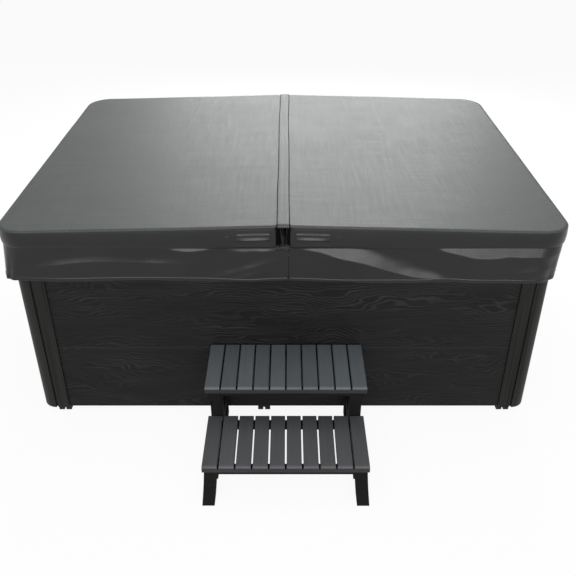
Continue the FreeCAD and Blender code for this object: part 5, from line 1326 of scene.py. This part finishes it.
def slat_mesh(width, low, high):
    """One slat at the left end of its row, from the box of the whole row."""
    long = eased_stations(high.y - low.y, SLAT_NOSE, NOSE_STEPS)
    wide = eased_stations(width, SLAT_EDGE, EDGE_STEPS)
    points = []
    for place_y, nose in long:
        for place_x, edge in wide:
            top = high.z - max(nose, edge) - SLAT_CORNER * min(nose, edge)
            points.append(Vector((place_x, low.y + place_y, top)))
    columns = len(wide)
    faces = grid_faces(0, len(long), columns)
    rim = list(range(columns)) + [j * columns + columns - 1 for j in range(1, len(long))]
    rim += [len(points) - 1 - i for i in range(1, columns)]
    rim += [j * columns for j in range(len(long) - 2, 0, -1)]
    first_low = len(points)
    points.extend(Vector((points[i].x, points[i].y, low.z)) for i in rim)
    for i in range(len(rim)):
        k = (i + 1) % len(rim)
        faces.append([rim[k], rim[i], first_low + i, first_low + k])
    faces.append(list(range(len(points) - 1, first_low - 1, -1)))
    mesh = smooth_mesh("slat", points, faces)
    mesh.set_sharp_from_angle(angle=math.radians(SLAT_CREASE_ANGLE))
    return mesh


def lip_mesh(low, high):
    """A flat bar across the front of a row, from under the noses to the slats' lower face."""
    work = bmesh.new()
    bmesh.ops.create_cube(work, size=1)
    middle = Vector((low.x + high.x, 2 * low.y - LIP_STAND, low.z + high.z - SLAT_NOSE)) / 2
    size = Vector((high.x - low.x, LIP_STAND, high.z - low.z - SLAT_NOSE))
    for vertex in work.verts:
        vertex.co = middle + vertex.co * size
    mesh = bpy.data.meshes.new("lip")
    work.to_mesh(mesh)
    work.free()
    return mesh


def slat_tree():
    """A row of slats along X, each with its own tone."""
    tree, given = new_tree("slat_row", {"Count": "Int", "Pitch": "Float", "Start": "Float", "Seed": "Int",
                                        "Material": "Material"})
    pitch = add_step(tree, "ShaderNodeCombineXYZ", {}, {"X": given["Pitch"]})
    start = add_step(tree, "ShaderNodeCombineXYZ", {}, {"X": given["Start"]})
    line = add_step(tree, "GeometryNodeMeshLine", {"mode": "OFFSET"},
                    {"Count": given["Count"], "Start Location": start.outputs[0],
                     "Offset": pitch.outputs[0]})
    row = add_step(tree, "GeometryNodeInstanceOnPoints", {},
                   {"Points": line.outputs[0], "Instance": given["Geometry"]})
    tone = add_step(tree, "FunctionNodeRandomValue", {"data_type": "FLOAT"}, {"Seed": given["Seed"]})
    toned = add_step(tree, "GeometryNodeStoreNamedAttribute", {"data_type": "FLOAT", "domain": "INSTANCE"},
                     {"Geometry": row.outputs[0], "Name": "tone", "Value": tone.outputs[1]})
    close_tree(tree, toned.outputs[0], given["Material"])
    return tree


def brushed_slat(name, dark, light):
    material, place = new_finish(name, Specular_IOR_Level=0.3)
    tone = place.node("Attribute", {"attribute_name": "tone"}, {}, 2)
    broad = cloud(stretched(place, 150, 5, 60), 1, 3)
    fine = cloud(stretched(place, 420, 7, 60), 1, 3)
    lines = 0.6 * broad + 0.4 * fine
    blots = cloud(stretched(place, 30, 6, 30), 1, 2)
    shade = 0.35 * tone + 0.9 * (lines - 0.25) + 0.2 * blots
    colour = tint(shade, srgb(*dark), srgb(*light))
    return lay_on(material, colour, 0.5 + 0.2 * lines, lines, 0.0006)


slat_rows = slat_tree()
# The lip's grey, darker than the slats, is painted shade on the front face of each row.
lip_painted_shade = moulded("lip_painted_shade", (32, 32, 33), (44, 44, 45), 0.6, 0.0016, 0.0003, Specular_IOR_Level=0.2)
for node, tone_seed, dark, light in (("step_upper_slats", 4, (60, 64, 67), (86, 91, 94)),
                                     ("step_lower_slats", 5, (54, 56, 58), (78, 80, 83))):
    low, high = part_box(node)
    slat_width = (high.x - low.x - (SLATS - 1) * SLAT_GAP) / SLATS
    treads = grown(node + "_brushed", slat_mesh(slat_width, low, high), slat_rows,
                   {"Count": SLATS, "Pitch": slat_width + SLAT_GAP, "Start": low.x, "Seed": tone_seed,
                    "Material": brushed_slat(node + "_grey", dark, light)})
    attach(treads, "step_set")
    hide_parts(node)
    lip = new_object(node + "_lip", lip_mesh(low, high))
    lip.data.materials.append(lip_painted_shade)
    rounded = lip.modifiers.new("eased edges", "BEVEL")
    rounded.width = LIP_EDGE
    rounded.segments = 2
    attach(lip, "step_set")


# Studio.
# A white floor that runs out to a white room, a wide softbox overhead, one behind the tub whose
# sheen lies along the middle of the cover, a broad one in front, and a camera at standing height.

FLOOR_HALF = 14.0
ROOM_LIGHT = 0.42
FLOOR_WHITE_SHARE = 0.92
FLOOR_GREY = (0.85, 0.85, 0.85, 1)
WHITE = (1, 1, 1, 1)
LENS = 44.76
SENSOR = 36.0
EYE = (0.018, -3.116, 2.074)
PITCH = 58.29


def seen_directly(tree):
    """1 for rays of the camera, of mirrors and of glass, and 0 for those that light the object."""
    rays = tree.nodes.new("ShaderNodeLightPath").outputs
    straight = Wire(tree, rays["Is Camera Ray"])
    mirrored = Wire(tree, rays["Is Glossy Ray"])
    through = Wire(tree, rays["Is Transmission Ray"])
    return straight.maths("MAXIMUM", straight.maths("MAXIMUM", straight, mirrored), through)


def softbox(name, place, aim, size, watts):
    lamp = bpy.data.lights.new(name, "AREA")
    lamp.shape = "RECTANGLE"
    lamp.size, lamp.size_y = size
    lamp.energy = watts
    box = new_object(name, lamp)
    box.location = place
    box.rotation_euler = (Vector(aim) - Vector(place)).to_track_quat("-Z", "Y").to_euler()


world = bpy.data.worlds.new("white_room")
world.use_nodes = True
bpy.context.scene.world = world
room = world.node_tree
background = room.nodes["Background"]
background.inputs["Color"].default_value = WHITE
strength = ROOM_LIGHT + (1 - ROOM_LIGHT) * seen_directly(room)
room.links.new(strength.socket, background.inputs["Strength"])

floor_mesh = bpy.data.meshes.new("floor")
floor_corners = [(x * FLOOR_HALF, y * FLOOR_HALF, 0) for x, y in ((-1, -1), (1, -1), (1, 1), (-1, 1))]
floor_mesh.from_pydata(floor_corners, [], [(0, 1, 2, 3)])
floor = new_object("floor", floor_mesh)
paper = bpy.data.materials.new("white_paper")
paper.use_nodes = True
nodes = paper.node_tree.nodes
nodes.remove(nodes["Principled BSDF"])
seen = seen_directly(paper.node_tree)
matt = seen.node("BsdfDiffuse", {}, {"Color": FLOOR_GREY})
glow = seen.node("Emission", {}, {"Color": WHITE, "Strength": 1.0})
sheet = seen.node("MixShader", {}, {0: seen * FLOOR_WHITE_SHARE, 1: matt, 2: glow})
paper.node_tree.links.new(sheet.socket, nodes["Material Output"].inputs["Surface"])
floor.data.materials.append(paper)

softbox("overhead", (0.0, -1.2, 4.2), (0.0, -0.2, 0.6), (4.0, 3.2), 55.0)
softbox("behind", (0.38, 3.6, 2.7), (0.1, -0.2, 0.9), (3.2, 2.6), 190.0)
softbox("front", (0.0, -6.0, 2.5), (0.0, -0.8, 0.75), (6.5, 2.6), 290.0)

lens = bpy.data.cameras.new("standing_view")
lens.lens = LENS
lens.sensor_width = SENSOR
viewer = new_object("standing_view", lens)
viewer.location = EYE
viewer.rotation_euler = (math.radians(PITCH), 0, 0)
bpy.context.scene.camera = viewer
bpy.context.scene.view_settings.view_transform = "Standard"
